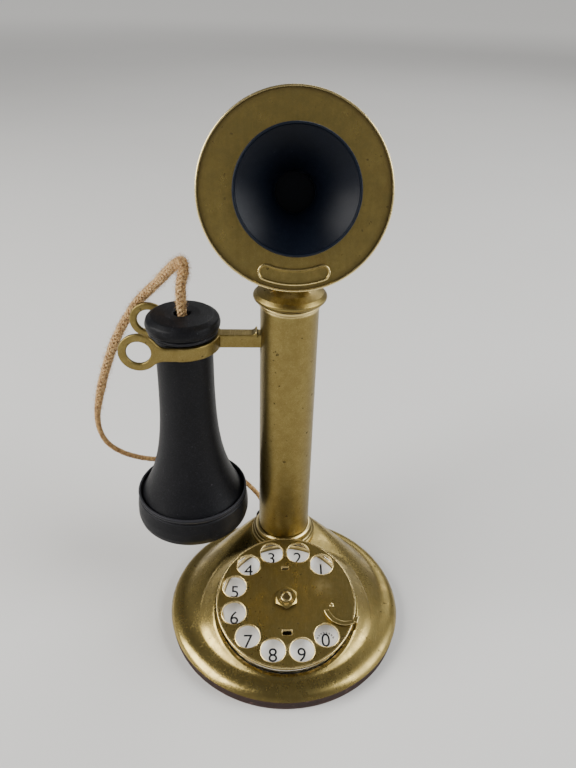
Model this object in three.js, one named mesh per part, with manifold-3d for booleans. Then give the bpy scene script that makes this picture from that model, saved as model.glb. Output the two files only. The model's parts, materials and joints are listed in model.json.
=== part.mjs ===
// A brass dial candlestick telephone, in millimetres, +Z up, its front facing -Y.
// The origin is the centre of the base's underside, which is the face it rests on.
import * as THREE from "three";
import { mergeVertices } from "three/addons/utils/BufferGeometryUtils.js";
import Module from "manifold-3d";

const wasm = await Module();
wasm.setup();

// ---------------------------------------------------------------- sizes
const gap = 0.3; // between neighbouring pieces
const degree = Math.PI / 180;

const pad = { floor: 2.4, height: 6.2, rim: 5, inset: 0.5 };
const plate = { thickness: 1.6, screws: 3, screwRadius: 1.6, headRadius: 3.2, postRadius: 4 };
const stem = { radius: 14.7, wall: 1.6, length: 159.5, belowSeat: 8, collarRadius: 18.8, collarHeight: 7.4 };
const base = {
  radius: 65.2,
  wall: 2,
  lip: 1.4, // upright edge above the pad
  shoulderWidth: 7.7,
  shoulderRise: 2.8,
  hillRise: 17.9, // from the shoulder to the seat round the stem
  hillBulge: 1.25,
  seatRadius: stem.radius + 4.7, // flat seat round the stem
  rearLedge: 10.1, // from that seat back to the rim
};
const cap = { beadRadius: 18.3, beadHeight: 7, spigot: 8, earHalfGap: 5, earThickness: 3, pivotRise: 9 };
const dial = {
  wheelRadius: 38.1,
  wheelThickness: 2,
  holeRadius: 6.4,
  holeCircle: 29.3,
  holeStep: 30 * degree,
  firstHole: 45 * degree, // clockwise from the top
  wheelAboveHill: 8, // wheel face above the straight slope
  caseInset: 1.2, // case inside the wheel's edge
  caseWall: 1.4,
  caseDepth: 9.5,
  plateBelow: 6, // number plate's face below the wheel's face
  wellGap: 0.9,
  bossWall: 2.4,
  bossDepth: 3,
  shaftRadius: 3,
  nutAcross: 11.4,
};
const gear = { module: 0.8, teeth: 36, pinionTeeth: 12, thickness: 1.5, mesh: 0.35 };
const hook = {
  armHeight: 7.2,
  armWidth: 7,
  strap: 2.4,
  pivotDrop: 19.4, // pivot below the top of the stem tube
  reach: 53.4, // stem axis to receiver axis
  ringOut: 20, // receiver axis to eye-ring centre
  ringLift: 1.5,
  flareOff: 1.5,
  ringRadius: 10.1,
  ringHole: 5.9,
};
const receiver = {
  neckRadius: 14.7,
  capOverhang: 4.3, // cap beyond the neck, so that it hangs on the fork
  capHeight: 10.4,
  length: 119, // cap's foot to ear cap's foot
  flare: 12.6, // how far the body widens at its foot
  flangeRadius: 30.3,
  earRadius: 32,
  earHeight: 19,
  wall: 3,
  cordHole: 3.9,
  forkClearance: 1.7,
};
const face = {
  radius: 42.9,
  thickness: 2.2,
  lean: 17.5 * degree, // tilt back from upright
  forward: 17.6, // face centre in front of the stem axis
  abovePivot: 44.6,
  mouthRadius: 26.5,
  mouthDepth: 18.5,
  throatRadius: 8.9,
  hornWall: 2,
  cupRadius: 29,
  cupDepth: 31,
  cupWall: 1.6,
  collarRadius: 15.5,
};
const cord = { thin: 1.6, thick: 2.7 };
const cordHole = { radius: 4, x: 11, aboveShoulder: 8.6, cordBore: 2.3, lineBore: 3.1 };
const hookPin = { radius: 1.8 };
const tilt = { radius: 2.1, headRadius: 4.6, headHeight: 2.6 };
const springPlaces = [-3.5, 0, 3.5];
const switchBlock = { below: 34, height: 16, halfX: 6.5, halfY: 5 };
const cupScrews = { x: 12, radius: 1.5 };

// ---------------------------------------------------------------- finishes
const finish = (color, roughness, metalness) => new THREE.MeshStandardMaterial({ color, roughness, metalness });
const brass = () => finish(0x9a7b3c, 0.34, 1);
const brightBrass = () => finish(0xc9a552, 0.25, 1);
const nickel = () => finish(0xb9b6ad, 0.3, 1);
const steel = () => finish(0x8f9296, 0.4, 1);
const rubber = () => finish(0x16171a, 0.45, 0);
const fibre = () => finish(0x3a1b1c, 0.8, 0);
const enamel = () => finish(0xe9e8e4, 0.2, 0);
const copper = () => finish(0xb06a3b, 0.4, 1);
const braid = () => finish(0xb98f58, 0.9, 0);

// ---------------------------------------------------------------- solids
function signedVolume(geometry) {
  const p = geometry.getAttribute("position");
  const index = geometry.index.array;
  const a = new THREE.Vector3();
  const b = new THREE.Vector3();
  const c = new THREE.Vector3();
  let sum = 0;
  for (let i = 0; i < index.length; i += 3) {
    a.fromBufferAttribute(p, index[i]);
    b.fromBufferAttribute(p, index[i + 1]);
    c.fromBufferAttribute(p, index[i + 2]);
    sum += a.dot(b.cross(c));
  }
  return sum / 6;
}

// Welds a closed geometry and turns its faces outwards.
function closed(geometry) {
  const bare = new THREE.BufferGeometry();
  const source = geometry.index ? geometry.toNonIndexed() : geometry;
  bare.setAttribute("position", source.getAttribute("position"));
  const welded = mergeVertices(bare, 1e-4);
  const index = [];
  for (let i = 0; i < welded.index.count; i += 3) {
    const [a, b, c] = [welded.index.getX(i), welded.index.getX(i + 1), welded.index.getX(i + 2)];
    if (a !== b && b !== c && a !== c) index.push(a, b, c);
  }
  welded.setIndex(index);
  if (signedVolume(welded) < 0) {
    for (let i = 0; i < index.length; i += 3) {
      [index[i + 1], index[i + 2]] = [index[i + 2], index[i + 1]];
    }
    welded.setIndex(index);
  }
  return welded;
}

function toManifold(geometry) {
  const welded = closed(geometry);
  const vertProperties = new Float32Array(welded.getAttribute("position").array);
  const triVerts = new Uint32Array(welded.index.array);
  return new wasm.Manifold(new wasm.Mesh({ numProp: 3, vertProperties, triVerts }));
}

function fromManifold(solid) {
  const mesh = solid.getMesh();
  const geometry = new THREE.BufferGeometry();
  geometry.setAttribute("position", new THREE.BufferAttribute(mesh.vertProperties, 3));
  geometry.setIndex(new THREE.BufferAttribute(mesh.triVerts, 1));
  return geometry;
}

function cut(body, ...tools) {
  return fromManifold(tools.reduce((left, tool) => left.subtract(toManifold(tool)), toManifold(body)));
}

function join(body, ...more) {
  return fromManifold(more.reduce((sum, piece) => sum.add(toManifold(piece)), toManifold(body)));
}

// A profile of [radius, height] points turned round the Z axis.
function turned(profile, segments = 32) {
  const points = profile.map(([r, z]) => new THREE.Vector2(r, z));
  return closed(new THREE.LatheGeometry(points, segments).rotateX(Math.PI / 2));
}

function rod(radius, low, high, segments = 20) {
  return turned([[0, low], [radius, low], [radius, high], [0, high]], segments);
}

function tube(outer, inner, low, high, segments = 32) {
  return turned([[inner, low], [outer, low], [outer, high], [inner, high], [inner, low]], segments);
}

function block(low, high) {
  const size = high.map((value, i) => value - low[i]);
  const middle = high.map((value, i) => (value + low[i]) / 2);
  return new THREE.BoxGeometry(...size).translate(...middle);
}

function prism(outline, low, high, curveSegments = 10) {
  const options = { depth: high - low, bevelEnabled: false, curveSegments };
  return closed(new THREE.ExtrudeGeometry(outline, options).translate(0, 0, low));
}

function polygon(points) {
  return new THREE.Shape(points.map(([x, y]) => new THREE.Vector2(x, y)));
}

// Points of an arc from one angle to another, both included.
function arc(cx, cy, radius, from, to, steps) {
  return Array.from({ length: steps + 1 }, (_, i) => {
    const angle = from + ((to - from) * i) / steps;
    return [cx + radius * Math.cos(angle), cy + radius * Math.sin(angle)];
  });
}

// A stack of level circles, each with its own radius, height and centre, closed on itself.
function leaningLoop(rings, segments) {
  const positions = [];
  const index = [];
  rings.forEach(({ radius, z, y }) => {
    for (let i = 0; i < segments; i += 1) {
      const angle = (2 * Math.PI * i) / segments;
      positions.push(radius * Math.sin(angle), y - radius * Math.cos(angle), z);
    }
  });
  rings.forEach((_, k) => {
    const low = k * segments;
    const high = ((k + 1) % rings.length) * segments;
    for (let i = 0; i < segments; i += 1) {
      const next = (i + 1) % segments;
      index.push(low + i, low + next, high + next, low + i, high + next, high + i);
    }
  });
  const geometry = new THREE.BufferGeometry();
  geometry.setAttribute("position", new THREE.Float32BufferAttribute(positions, 3));
  geometry.setIndex(index);
  return closed(geometry);
}

function named(name, geometry, material) {
  const mesh = new THREE.Mesh(geometry, material);
  mesh.name = name;
  return mesh;
}

// ---------------------------------------------------------------- shared places
const shellFoot = pad.height + gap;
const lipTop = shellFoot + base.lip;
const shoulderTop = lipTop + base.shoulderRise;
const seatTop = shoulderTop + base.hillRise;
const shoulderRadius = base.radius - base.shoulderWidth;
const stemY = base.radius - base.rearLedge - base.seatRadius;
const plateLow = pad.floor + gap;
const plateTop = plateLow + plate.thickness;

const slopeFront = -shoulderRadius;
const slopeBack = stemY - base.seatRadius;
const slope = Math.atan2(base.hillRise, slopeBack - slopeFront);

const stemFoot = seatTop - stem.belowSeat;
const stemTop = stemFoot + stem.length;
const stemBore = stem.radius - stem.wall;

// The dial's face centre: its top edge clears the stem, and it floats above the slope.
const dialFrame = new THREE.Group();
const dialY = stemY - stem.radius - 1.9 - dial.wheelRadius * Math.cos(slope);
const slopeAtDial = shoulderTop + (dialY - slopeFront) * Math.tan(slope);
dialFrame.position.set(0, dialY, slopeAtDial + dial.wheelAboveHill / Math.cos(slope));
dialFrame.rotation.x = slope;
dialFrame.updateMatrixWorld(true);
const caseRadius = dial.wheelRadius - dial.caseInset;
const caseTop = -dial.wheelThickness - 0.5;
const caseFloor = caseTop - dial.caseDepth;
const wellRadius = caseRadius + dial.wellGap;
const bossTop = caseTop - 5.3;

const hookZ = stemTop - hook.pivotDrop;
const forkRadius = receiver.neckRadius + receiver.forkClearance;
const forkTop = hookZ + hook.armHeight / 2;
const receiverX = -hook.reach;
const capFoot = forkTop + gap;

const pivotZ = stemTop + gap + cap.beadHeight + cap.pivotRise;
const faceFrame = new THREE.Group();
faceFrame.position.set(0, stemY - face.forward, pivotZ + face.abovePivot);
faceFrame.rotation.x = Math.PI / 2 - face.lean;
faceFrame.updateMatrixWorld(true);
// The tilt pivot in the face's own frame: Y up the face, Z out of it.
const pivotInFace = faceFrame.worldToLocal(new THREE.Vector3(0, stemY, pivotZ));

// ---------------------------------------------------------------- base
function hillRing(share, inset) {
  const rise = 1 - (1 - share) ** base.hillBulge;
  return {
    radius: shoulderRadius + (base.seatRadius - shoulderRadius) * share - inset,
    z: shoulderTop + base.hillRise * rise - inset,
    y: stemY * share,
  };
}

function shoulderRing(angle, inset) {
  return {
    radius: shoulderRadius + base.shoulderWidth * Math.cos(angle) - inset,
    z: lipTop + base.shoulderRise * Math.sin(angle) - inset * Math.sin(angle),
    y: 0,
  };
}

function shellRings(inset) {
  const angles = [0, 45].map((a) => a * degree);
  const shares = [0, 0.35, 0.7, 1];
  return [
    { radius: base.radius - inset, z: shellFoot, y: 0 },
    ...angles.map((angle) => shoulderRing(angle, inset)),
    ...shares.map((share) => hillRing(share, inset)),
  ];
}

const postPlaces = [-125, 125, 0].map((azimuth) => {
  const distance = shoulderRadius - 3;
  return [distance * Math.sin(azimuth * degree), distance * Math.cos(azimuth * degree)];
});

function baseShell() {
  const hole = stem.radius + gap;
  const skin = leaningLoop(
    [
      ...shellRings(0),
      { radius: hole, z: seatTop, y: stemY },
      { radius: hole, z: seatTop - base.wall, y: stemY },
      ...shellRings(base.wall).reverse(),
    ],
    36,
  );
  const ring = tube(wellRadius + dial.bossWall, wellRadius, bossTop - dial.bossDepth, bossTop, 36);
  const collarRoom = rod(stem.collarRadius + gap, seatTop, seatTop + 30, 32).translate(0, stemY, 0);
  const stemRoom = rod(hole, 0, seatTop + 30, 36).translate(0, stemY, 0);
  const boss = cut(ring.applyMatrix4(dialFrame.matrixWorld), collarRoom, stemRoom);
  const cleared = cut(skin, dialWell());
  const posts = postPlaces.map(([x, y]) =>
    rod(plate.postRadius, plateTop + gap, lipTop + 1.6, 12).translate(x, y, 0),
  );
  const bores = postPlaces.map(([x, y]) => rod(plate.screwRadius + gap, 0, plateTop + 4.6, 12).translate(x, y, 0));
  const holes = [-1, 1].map((side) => cordHoleTool(side));
  return cut(join(cleared, boss, ...posts), ...bores, ...holes);
}

// The room that the dial's case takes out of the shell and the collar.
function dialWell() {
  return rod(wellRadius, caseFloor - 30, 20, 36).applyMatrix4(dialFrame.matrixWorld);
}

// The two cord holes are side by side in the steep back of the shell.
const cordHoleZ = shoulderTop + cordHole.aboveShoulder;
const cordWallY = backWallY(cordHole.x, cordHoleZ);

function backWallY(x, z) {
  const share = 1 - (1 - (z - shoulderTop) / base.hillRise) ** (1 / base.hillBulge);
  const ring = hillRing(share, 0);
  return ring.y + Math.sqrt(ring.radius ** 2 - x ** 2);
}

function cordHoleTool(side) {
  return rod(cordHole.radius + gap, -10, 10, 16)
    .rotateX(-Math.PI / 2)
    .translate(side * cordHole.x, cordWallY, cordHoleZ);
}

function cordBushing(side, bore) {
  const { radius } = cordHole;
  const flange = radius + 1.6;
  const profile = [
    [bore, -3.8], [radius, -3.8], [radius, 2], [flange, 2], [flange, 3.6], [flange - 1, 4.8], [bore, 4.8], [bore, -3.8],
  ];
  return turned(profile, 20).rotateX(-Math.PI / 2).translate(side * cordHole.x, cordWallY, cordHoleZ);
}

function basePad() {
  const outer = base.radius - pad.inset;
  const inner = outer - pad.rim;
  const profile = [
    [0, 0], [outer, 0], [outer, pad.height], [inner, pad.height], [inner, pad.floor], [0, pad.floor],
  ];
  return turned(profile, 40);
}

function bottomPlate() {
  const disc = rod(base.radius - pad.inset - pad.rim - gap, plateLow, plateTop, 32);
  const sinks = postPlaces.map(([x, y]) => {
    const { screwRadius, headRadius } = plate;
    const profile = [
      [0, plateLow - 1], [headRadius + gap, plateLow - 1], [headRadius + gap, plateLow],
      [screwRadius + gap, plateTop], [screwRadius + gap, plateTop + 1], [0, plateTop + 1],
    ];
    return turned(profile, 12).translate(x, y, 0);
  });
  return cut(disc, ...sinks);
}

function plateScrew([x, y]) {
  const { screwRadius, headRadius } = plate;
  const high = plateTop + 4;
  const profile = [[0, plateLow], [headRadius, plateLow], [screwRadius, plateTop], [screwRadius, high], [0, high]];
  return turned(profile, 12).translate(x, y, 0);
}

function terminalStrip() {
  const bar = block([-46, 8, plateTop + gap], [-36, 26, plateTop + 5]);
  const lugs = [12, 17, 22].map((y) => rod(1.5, plateTop + 4.9, plateTop + 7, 10).translate(-41, y, 0));
  return join(bar, ...lugs);
}

// ---------------------------------------------------------------- stem
function stemTube() {
  const wall = tube(stem.radius, stemBore, stemFoot, stemTop, 32).translate(0, stemY, 0);
  const slotLow = hookZ - hook.armHeight / 2 - 2.4;
  const slotHigh = hookZ + hook.armHeight / 2 + 2.5;
  const halfSlot = hook.armWidth / 2 + gap + 0.2;
  const slot = block([-stem.radius - 2, stemY - halfSlot, slotLow], [-8, stemY + halfSlot, slotHigh]);
  const pinHole = rod(hookPin.radius + gap, -20, 20, 16).rotateX(Math.PI / 2).translate(0, stemY, hookZ);
  return cut(wall, slot, pinHole);
}

function hookPivotPin() {
  const half = stem.radius - 0.2;
  return rod(hookPin.radius, -half, half, 16).rotateX(Math.PI / 2).translate(0, stemY, hookZ);
}

function footCollar() {
  const inner = stem.radius + gap;
  const low = seatTop + gap;
  const high = seatTop + stem.collarHeight;
  const profile = [
    [inner, low], [stem.collarRadius, low], [stem.collarRadius, low + 2.2], [stem.collarRadius - 0.9, low + 3],
    [inner + 1.5, low + 3.4], [inner + 1.2, high - 0.5], [inner + 0.6, high], [inner, high], [inner, low],
  ];
  const wheelRoom = rod(dial.wheelRadius + 0.8, caseTop, 20, 40).applyMatrix4(dialFrame.matrixWorld);
  return cut(turned(profile, 32).translate(0, stemY, 0), dialWell(), wheelRoom);
}

function stemRingNut() {
  const high = seatTop - base.wall - 1;
  const ring = tube(stem.radius + 2.3, stem.radius + gap, high - 4.4, high, 24).translate(0, stemY, 0);
  return cut(ring, dialWell());
}

function stemCap() {
  const low = stemTop + gap;
  const bead = arc(cap.beadRadius - cap.beadHeight / 2 + 0.8, low + 1.6 + 2.7, 2.7, -Math.PI / 2, Math.PI / 2, 4);
  const top = low + cap.beadHeight;
  const profile = [
    [0, low - cap.spigot], [stemBore - gap, low - cap.spigot], [stemBore - gap, low], [stem.radius + 0.7, low],
    [stem.radius + 0.7, low + 1.3], ...bead, [stem.radius - 1.2, top], [0, top + 1.2],
  ];
  const plug = turned(profile, 28);
  const height = cap.pivotRise;
  const ears = [-1, 1].map((side) => {
    const x = side * (cap.earHalfGap + cap.earThickness / 2);
    const root = block([x - cap.earThickness / 2, -5.5, top - 1.5], [x + cap.earThickness / 2, 5.5, top + height]);
    const round = rod(5.5, -cap.earThickness / 2, cap.earThickness / 2, 16)
      .rotateY(Math.PI / 2)
      .translate(x, 0, top + height);
    return join(root, round);
  });
  const hole = rod(tilt.radius + gap, -20, 20, 12).rotateY(Math.PI / 2).translate(0, 0, top + height);
  return cut(join(plug, ...ears), hole).translate(0, stemY, 0);
}

function tiltScrew() {
  const reach = cap.earHalfGap + cap.earThickness;
  const profile = [
    [0, -reach - tilt.headHeight], [tilt.radius, -reach - tilt.headHeight], [tilt.radius, reach + gap],
    [tilt.headRadius, reach + gap], [tilt.headRadius, reach + tilt.headHeight - 0.6],
    [tilt.headRadius - 0.6, reach + tilt.headHeight], [0, reach + tilt.headHeight],
  ];
  return turned(profile, 16).rotateY(Math.PI / 2).translate(0, stemY, pivotZ);
}

function tiltNut() {
  const near = cap.earHalfGap + cap.earThickness + gap;
  const corners = arc(0, 0, tilt.headRadius, 0, Math.PI * 2, 6).slice(0, 6);
  const hex = prism(polygon(corners), -near - 1.9, -near);
  const bore = rod(tilt.radius + gap, -near - 4, -near + 2, 12);
  return cut(hex, bore).rotateY(Math.PI / 2).translate(0, stemY, pivotZ);
}

// The hook switch: springs clamped in a block inside the stem, under the hook's short tail.
function springBlock() {
  const { below, height, halfX, halfY } = switchBlock;
  const high = hookZ - below;
  const low = high - height;
  const body = block([-halfX, stemY - halfY, low], [halfX, stemY + halfY, high]);
  const slots = springPlaces.map((x) =>
    block([x - 0.5, stemY - 3.3, high - 7], [x + 0.5, stemY + 3.3, high + 1]),
  );
  return cut(body, ...slots);
}

function contactSpring(x) {
  const high = hookZ - switchBlock.below;
  return block([x - 0.2, stemY - 3, high - 6.7], [x + 0.2, stemY + 3, hookZ - 4.5]);
}

// ---------------------------------------------------------------- switch hook
function hookOutline() {
  const half = hook.armWidth / 2;
  const outer = forkRadius + hook.strap;
  const tip = receiverX - hook.ringOut;
  const armMeets = Math.asin(half / outer);
  const outside = arc(receiverX, 0, outer, armMeets, Math.PI / 2, 6);
  const inside = arc(receiverX, 0, forkRadius, Math.PI / 2, 0, 7);
  const near = [[-8.2, half], ...outside, [tip, outer], [tip, forkRadius], ...inside];
  const far = near.map(([x, y]) => [x, -y]).reverse();
  return polygon([...near, ...far.slice(1)]);
}

function switchHook() {
  const half = hook.armHeight / 2;
  const strap = prism(hookOutline(), hookZ - half, hookZ + half, 6).translate(0, stemY, 0);
  const tip = receiverX - hook.ringOut;
  const middle = forkRadius + hook.strap / 2;
  const rings = [-1, 1].map((side) =>
    rod(hook.ringRadius, -hook.strap / 2, hook.strap / 2, 24)
      .rotateX(Math.PI / 2)
      .translate(tip, stemY + side * middle, hookZ + hook.ringLift),
  );
  const holes = [-1, 1].map((side) =>
    rod(hook.ringHole, -hook.strap, hook.strap, 18)
      .rotateX(Math.PI / 2)
      .translate(tip, stemY + side * middle, hookZ + hook.ringLift),
  );
  // The flare at the arm's root stands off the stem, because it swings towards it.
  const near = -stem.radius - hook.flareOff;
  const curve = arc(near - 7, half + 5.5, 5.5, -Math.PI / 2, 0, 5);
  const gusset = polygon([[near, half - 0.5], [near - 8, half - 0.5], ...curve, [near, half + 5.5]]);
  const flare = prism(gusset, -hook.armWidth / 2, hook.armWidth / 2)
    .rotateX(Math.PI / 2)
    .translate(0, stemY, hookZ);
  const root = block([-9, stemY - 3, hookZ - half], [-2, stemY + 3, hookZ + half]);
  const hub = rod(half, -3, 3, 20).rotateX(Math.PI / 2).translate(0, stemY, hookZ);
  const tail = block([1, stemY - 3, hookZ - 2], [9, stemY + 3, hookZ]);
  const bore = rod(hookPin.radius + gap, -10, 10, 16).rotateX(Math.PI / 2).translate(0, stemY, hookZ);
  return cut(join(strap, ...rings, flare, root, hub, tail), ...holes, bore);
}

// ---------------------------------------------------------------- dial, in its own frame
function fingerWheel() {
  const { wheelRadius, wheelThickness, holeRadius, holeCircle } = dial;
  const disc = turned(
    [
      [0, -wheelThickness], [wheelRadius, -wheelThickness], [wheelRadius, -0.5],
      [wheelRadius - 0.5, 0], [0, 0],
    ],
    40,
  );
  const holes = Array.from({ length: 10 }, (_, k) => {
    const angle = dial.firstHole - k * dial.holeStep;
    return rod(holeRadius, -10, 10, 18).translate(holeCircle * Math.sin(angle), holeCircle * Math.cos(angle), 0);
  });
  const slots = [
    block([-1.9, 17.6, -10], [1.9, 19.6, 10]),
    block([-2.5, -20.3, -10], [2.5, -17.5, 10]),
  ];
  const centre = rod(dial.shaftRadius + gap, -10, 10, 20);
  return cut(disc, centre, ...holes, ...slots);
}

function hubNut() {
  const corner = dial.nutAcross / 2 / Math.cos(Math.PI / 6);
  const corners = arc(0, 0, corner, Math.PI / 2, Math.PI * 2.5, 6).slice(0, 6);
  return cut(prism(polygon(corners), gap, gap + 2), rod(dial.shaftRadius + gap, -5, 10, 20));
}

function dialShaft() {
  const low = caseFloor - 6.6;
  const profile = [
    [0, low], [1.8, low], [1.8, caseFloor - 1.4], [dial.shaftRadius, caseFloor - 1.4],
    [dial.shaftRadius, 3], [dial.shaftRadius - 0.5, 3.4], [0, 3.4],
  ];
  return turned(profile, 20);
}

function dialCase() {
  const outer = caseRadius;
  const inner = outer - dial.caseWall;
  const cup = turned(
    [
      [dial.shaftRadius + gap, caseFloor], [outer, caseFloor], [outer, caseTop - 0.5], [outer - 0.5, caseTop],
      [inner, caseTop], [inner, caseFloor + dial.caseWall], [dial.shaftRadius + gap, caseFloor + dial.caseWall],
      [dial.shaftRadius + gap, caseFloor],
    ],
    32,
  );
  return cut(cup, rod(governor.shaft + gap, caseFloor - 5, caseFloor + 5, 12).translate(governor.x, 0, 0));
}

function numberPlate() {
  const low = -dial.plateBelow - 1;
  const outer = caseRadius - dial.caseWall - 0.9;
  return tube(outer, dial.shaftRadius + gap, low, -dial.plateBelow, 32);
}

const governor = {
  x: ((gear.teeth + gear.pinionTeeth) * gear.module) / 2 + gear.mesh,
  shaft: 1.2,
  rotorRadius: 6.4,
  cupRadius: 8.4,
};
const gearTop = -dial.plateBelow - 1 - 0.7;

// A spur wheel with narrow teeth, so that the pair turns freely.
function toothed(teeth, bore, phase) {
  const pitch = (gear.module * teeth) / 2;
  const tip = pitch + 0.55;
  const root = pitch - 0.95;
  const step = (2 * Math.PI) / teeth;
  const outline = Array.from({ length: teeth }, (_, k) => {
    const middle = k * step + phase;
    const corners = [[root, -0.2], [tip, -0.09], [tip, 0.09], [root, 0.2]];
    return corners.map(([r, share]) => [r * Math.cos(middle + share * step), r * Math.sin(middle + share * step)]);
  }).flat();
  const wheel = prism(polygon(outline), gearTop - gear.thickness, gearTop);
  return cut(wheel, rod(bore, gearTop - 5, gearTop + 5, 16));
}

function mainGear() {
  return toothed(gear.teeth, dial.shaftRadius + 0.1, 0);
}

// Half a tooth out of step where the two meet, on the +X side of the main gear.
function governorPinion() {
  const phase = Math.PI - Math.PI / gear.pinionTeeth;
  return toothed(gear.pinionTeeth, governor.shaft + 0.1, phase).translate(governor.x, 0, 0);
}

function governorShaft() {
  return rod(governor.shaft, caseFloor - 5.6, gearTop + 0.4, 12).translate(governor.x, 0, 0);
}

function governorRotor() {
  const low = caseFloor - 4.6;
  const high = caseFloor - 1.6;
  const bar = block([-governor.rotorRadius, -1.6, low], [governor.rotorRadius, 1.6, high]);
  const weights = [-1, 1].map((side) => rod(1.9, low, high, 12).translate(side * (governor.rotorRadius - 1.9), 0, 0));
  const bore = rod(governor.shaft + 0.1, low - 1, high + 1, 12);
  return cut(join(bar, ...weights), bore).translate(governor.x, 0, 0);
}

function governorCup() {
  const high = caseFloor - gap;
  const low = caseFloor - 5.4;
  return tube(governor.cupRadius, governor.cupRadius - 1.2, low, high, 20).translate(governor.x, 0, 0);
}

function pulseCam() {
  const high = caseFloor - 1.8;
  const low = high - 1.4;
  const lobes = Array.from({ length: 18 }, (_, k) => {
    const angle = (2 * Math.PI * k) / 18;
    const radius = 5.2 + 0.7 * Math.cos(3 * angle);
    return [radius * Math.cos(angle), radius * Math.sin(angle)];
  });
  return cut(prism(polygon(lobes), low, high), rod(1.9, low - 1, high + 1, 12));
}

function mainspringCase() {
  const high = caseFloor - 3.6;
  const low = high - 2.8;
  return tube(8.2, 2.2, low, high, 20);
}

function pulseSprings(side) {
  const high = caseFloor - 1.7;
  return block([-9 + side * 0.9 - 0.3, -14, high - 1.8], [-9 + side * 0.9 + 0.3, 10, high]);
}

function pulseBlock() {
  const high = caseFloor - gap;
  return block([-13.5, 10.4, high - 4.4], [-5.5, 17, high]);
}

// The finger stop: a curved finger over the wheel, on a foot that comes up past the wheel's edge.
function fingerStop() {
  const low = 0.5;
  const high = 2;
  const tip = 21.4;
  const heel = dial.wheelRadius + 2.2;
  const angle = -20 * degree;
  const length = heel - tip;
  const sag = 5.2;
  const radius = (length * length) / (8 * sag) + sag / 2;
  const half = Math.asin(length / 2 / radius);
  const centreX = (tip + heel) / 2;
  const centreY = radius - sag;
  const lower = arc(centreX, centreY, radius, -Math.PI / 2 - half, -Math.PI / 2 + half, 8);
  const upper = arc(centreX, centreY, radius - 1.6, -Math.PI / 2 + half, -Math.PI / 2 - half, 8);
  const finger = prism(polygon([...lower, [heel + 0.4, 2.6], ...upper]), low, high, 1);
  const foot = block([dial.wheelRadius + 0.5, -1.4, bossTop + gap], [heel, 2.2, high]);
  return join(finger, foot).rotateZ(angle);
}

// ---------------------------------------------------------------- transmitter, in the face's own frame
function faceplate() {
  const { radius, thickness, collarRadius } = face;
  const profile = [
    [collarRadius, -thickness], [radius - 1.5, -thickness], [radius, -thickness + 0.5], [radius, -0.3],
    [radius - 0.6, 0], [radius - 1.6, -0.2], [radius - 2.4, -0.8], [collarRadius, -0.6], [collarRadius, -thickness],
  ];
  return turned(profile, 40);
}

function namePlaque() {
  const inner = 32.6;
  const outer = 40;
  const half = 20 * degree;
  const top = -Math.PI / 2;
  const middle = (inner + outer) / 2;
  const end = (outer - inner) / 2;
  const round = (angle, from) =>
    arc(middle * Math.cos(angle), middle * Math.sin(angle), end, from, from + Math.PI, 6);
  const outline = [
    ...arc(0, 0, outer, top - half, top + half, 10),
    ...round(top + half, top + half).slice(1),
    ...arc(0, 0, inner, top + half, top - half, 8).slice(1),
    ...round(top - half, top - half + Math.PI).slice(1, -1),
  ];
  return prism(polygon(outline), -0.3, 0.9, 1);
}

function hornRadius(share) {
  const lip = face.mouthRadius - face.hornWall;
  return face.throatRadius + (lip - face.throatRadius) * share ** 1.35;
}

function mouthpiece() {
  const shares = [0, 0.3, 0.6, 0.9];
  const depth = face.mouthDepth;
  const inside = shares.map((s) => [hornRadius(s), depth * s - 1]);
  const outside = shares.map((s) => [hornRadius(s) + face.hornWall, depth * s - 1.6]).reverse();
  const lip = [
    [face.mouthRadius - 1.2, depth - 0.5], [face.mouthRadius - 0.6, depth], [face.mouthRadius, depth - 0.8],
    [face.mouthRadius, depth - 2.4],
  ];
  const neck = [[face.throatRadius + face.hornWall, -face.thickness - 4], [face.throatRadius, -face.thickness - 4]];
  return turned([...inside, ...lip, ...outside, ...neck, [hornRadius(0), -1]], 28);
}

function mouthpieceCollar() {
  const inner = face.throatRadius + face.hornWall + gap;
  const outer = face.collarRadius - gap;
  return tube(outer, inner, -face.thickness - 3.4, -1.4, 28);
}

const cupFront = -face.thickness - gap;
const cupBack = cupFront - face.cupDepth;

function transmitterCup() {
  const { cupRadius, cupWall } = face;
  const round = arc(cupRadius - 7, cupBack + 7, 7, 0, -Math.PI / 2, 3);
  const innerRound = arc(cupRadius - 7, cupBack + 7, 7 - cupWall, -Math.PI / 2, 0, 3);
  const shell = turned(
    [
      [cupRadius, cupFront], ...round, [0, cupBack], [0, cupBack + cupWall], ...innerRound,
      [cupRadius - cupWall, cupFront], [cupRadius, cupFront],
    ],
    32,
  );
  const { y, z } = pivotInFace;
  const halfLug = cap.earHalfGap - gap;
  const lug = join(
    block([-halfLug, y, z - 5], [halfLug, -cupRadius + 4, z + 5]),
    rod(5, -halfLug, halfLug, 16).rotateY(Math.PI / 2).translate(0, y, z),
  );
  const hollow = rod(cupRadius - cupWall, cupBack + 7, cupFront - 1, 32);
  const bore = rod(tilt.radius + gap, -20, 20, 12).rotateY(Math.PI / 2).translate(0, y, z);
  const screws = [-1, 1].map((side) =>
    rod(cupScrews.radius + gap, cupBack - 3, cupBack + 3, 10).translate(side * cupScrews.x, 0, 0),
  );
  return cut(join(shell, cut(lug, hollow)), bore, ...screws);
}

function transmitterDiaphragm() {
  const z = cupFront - 5.2;
  return rod(face.cupRadius - face.cupWall - 0.6, z - 0.6, z, 32);
}

function carbonButton() {
  const high = cupFront - 6.1;
  return turned([[0, high], [4, high], [4, high - 1.6], [8.5, high - 1.6], [8.5, high - 9], [0, high - 9]], 24);
}

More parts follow.
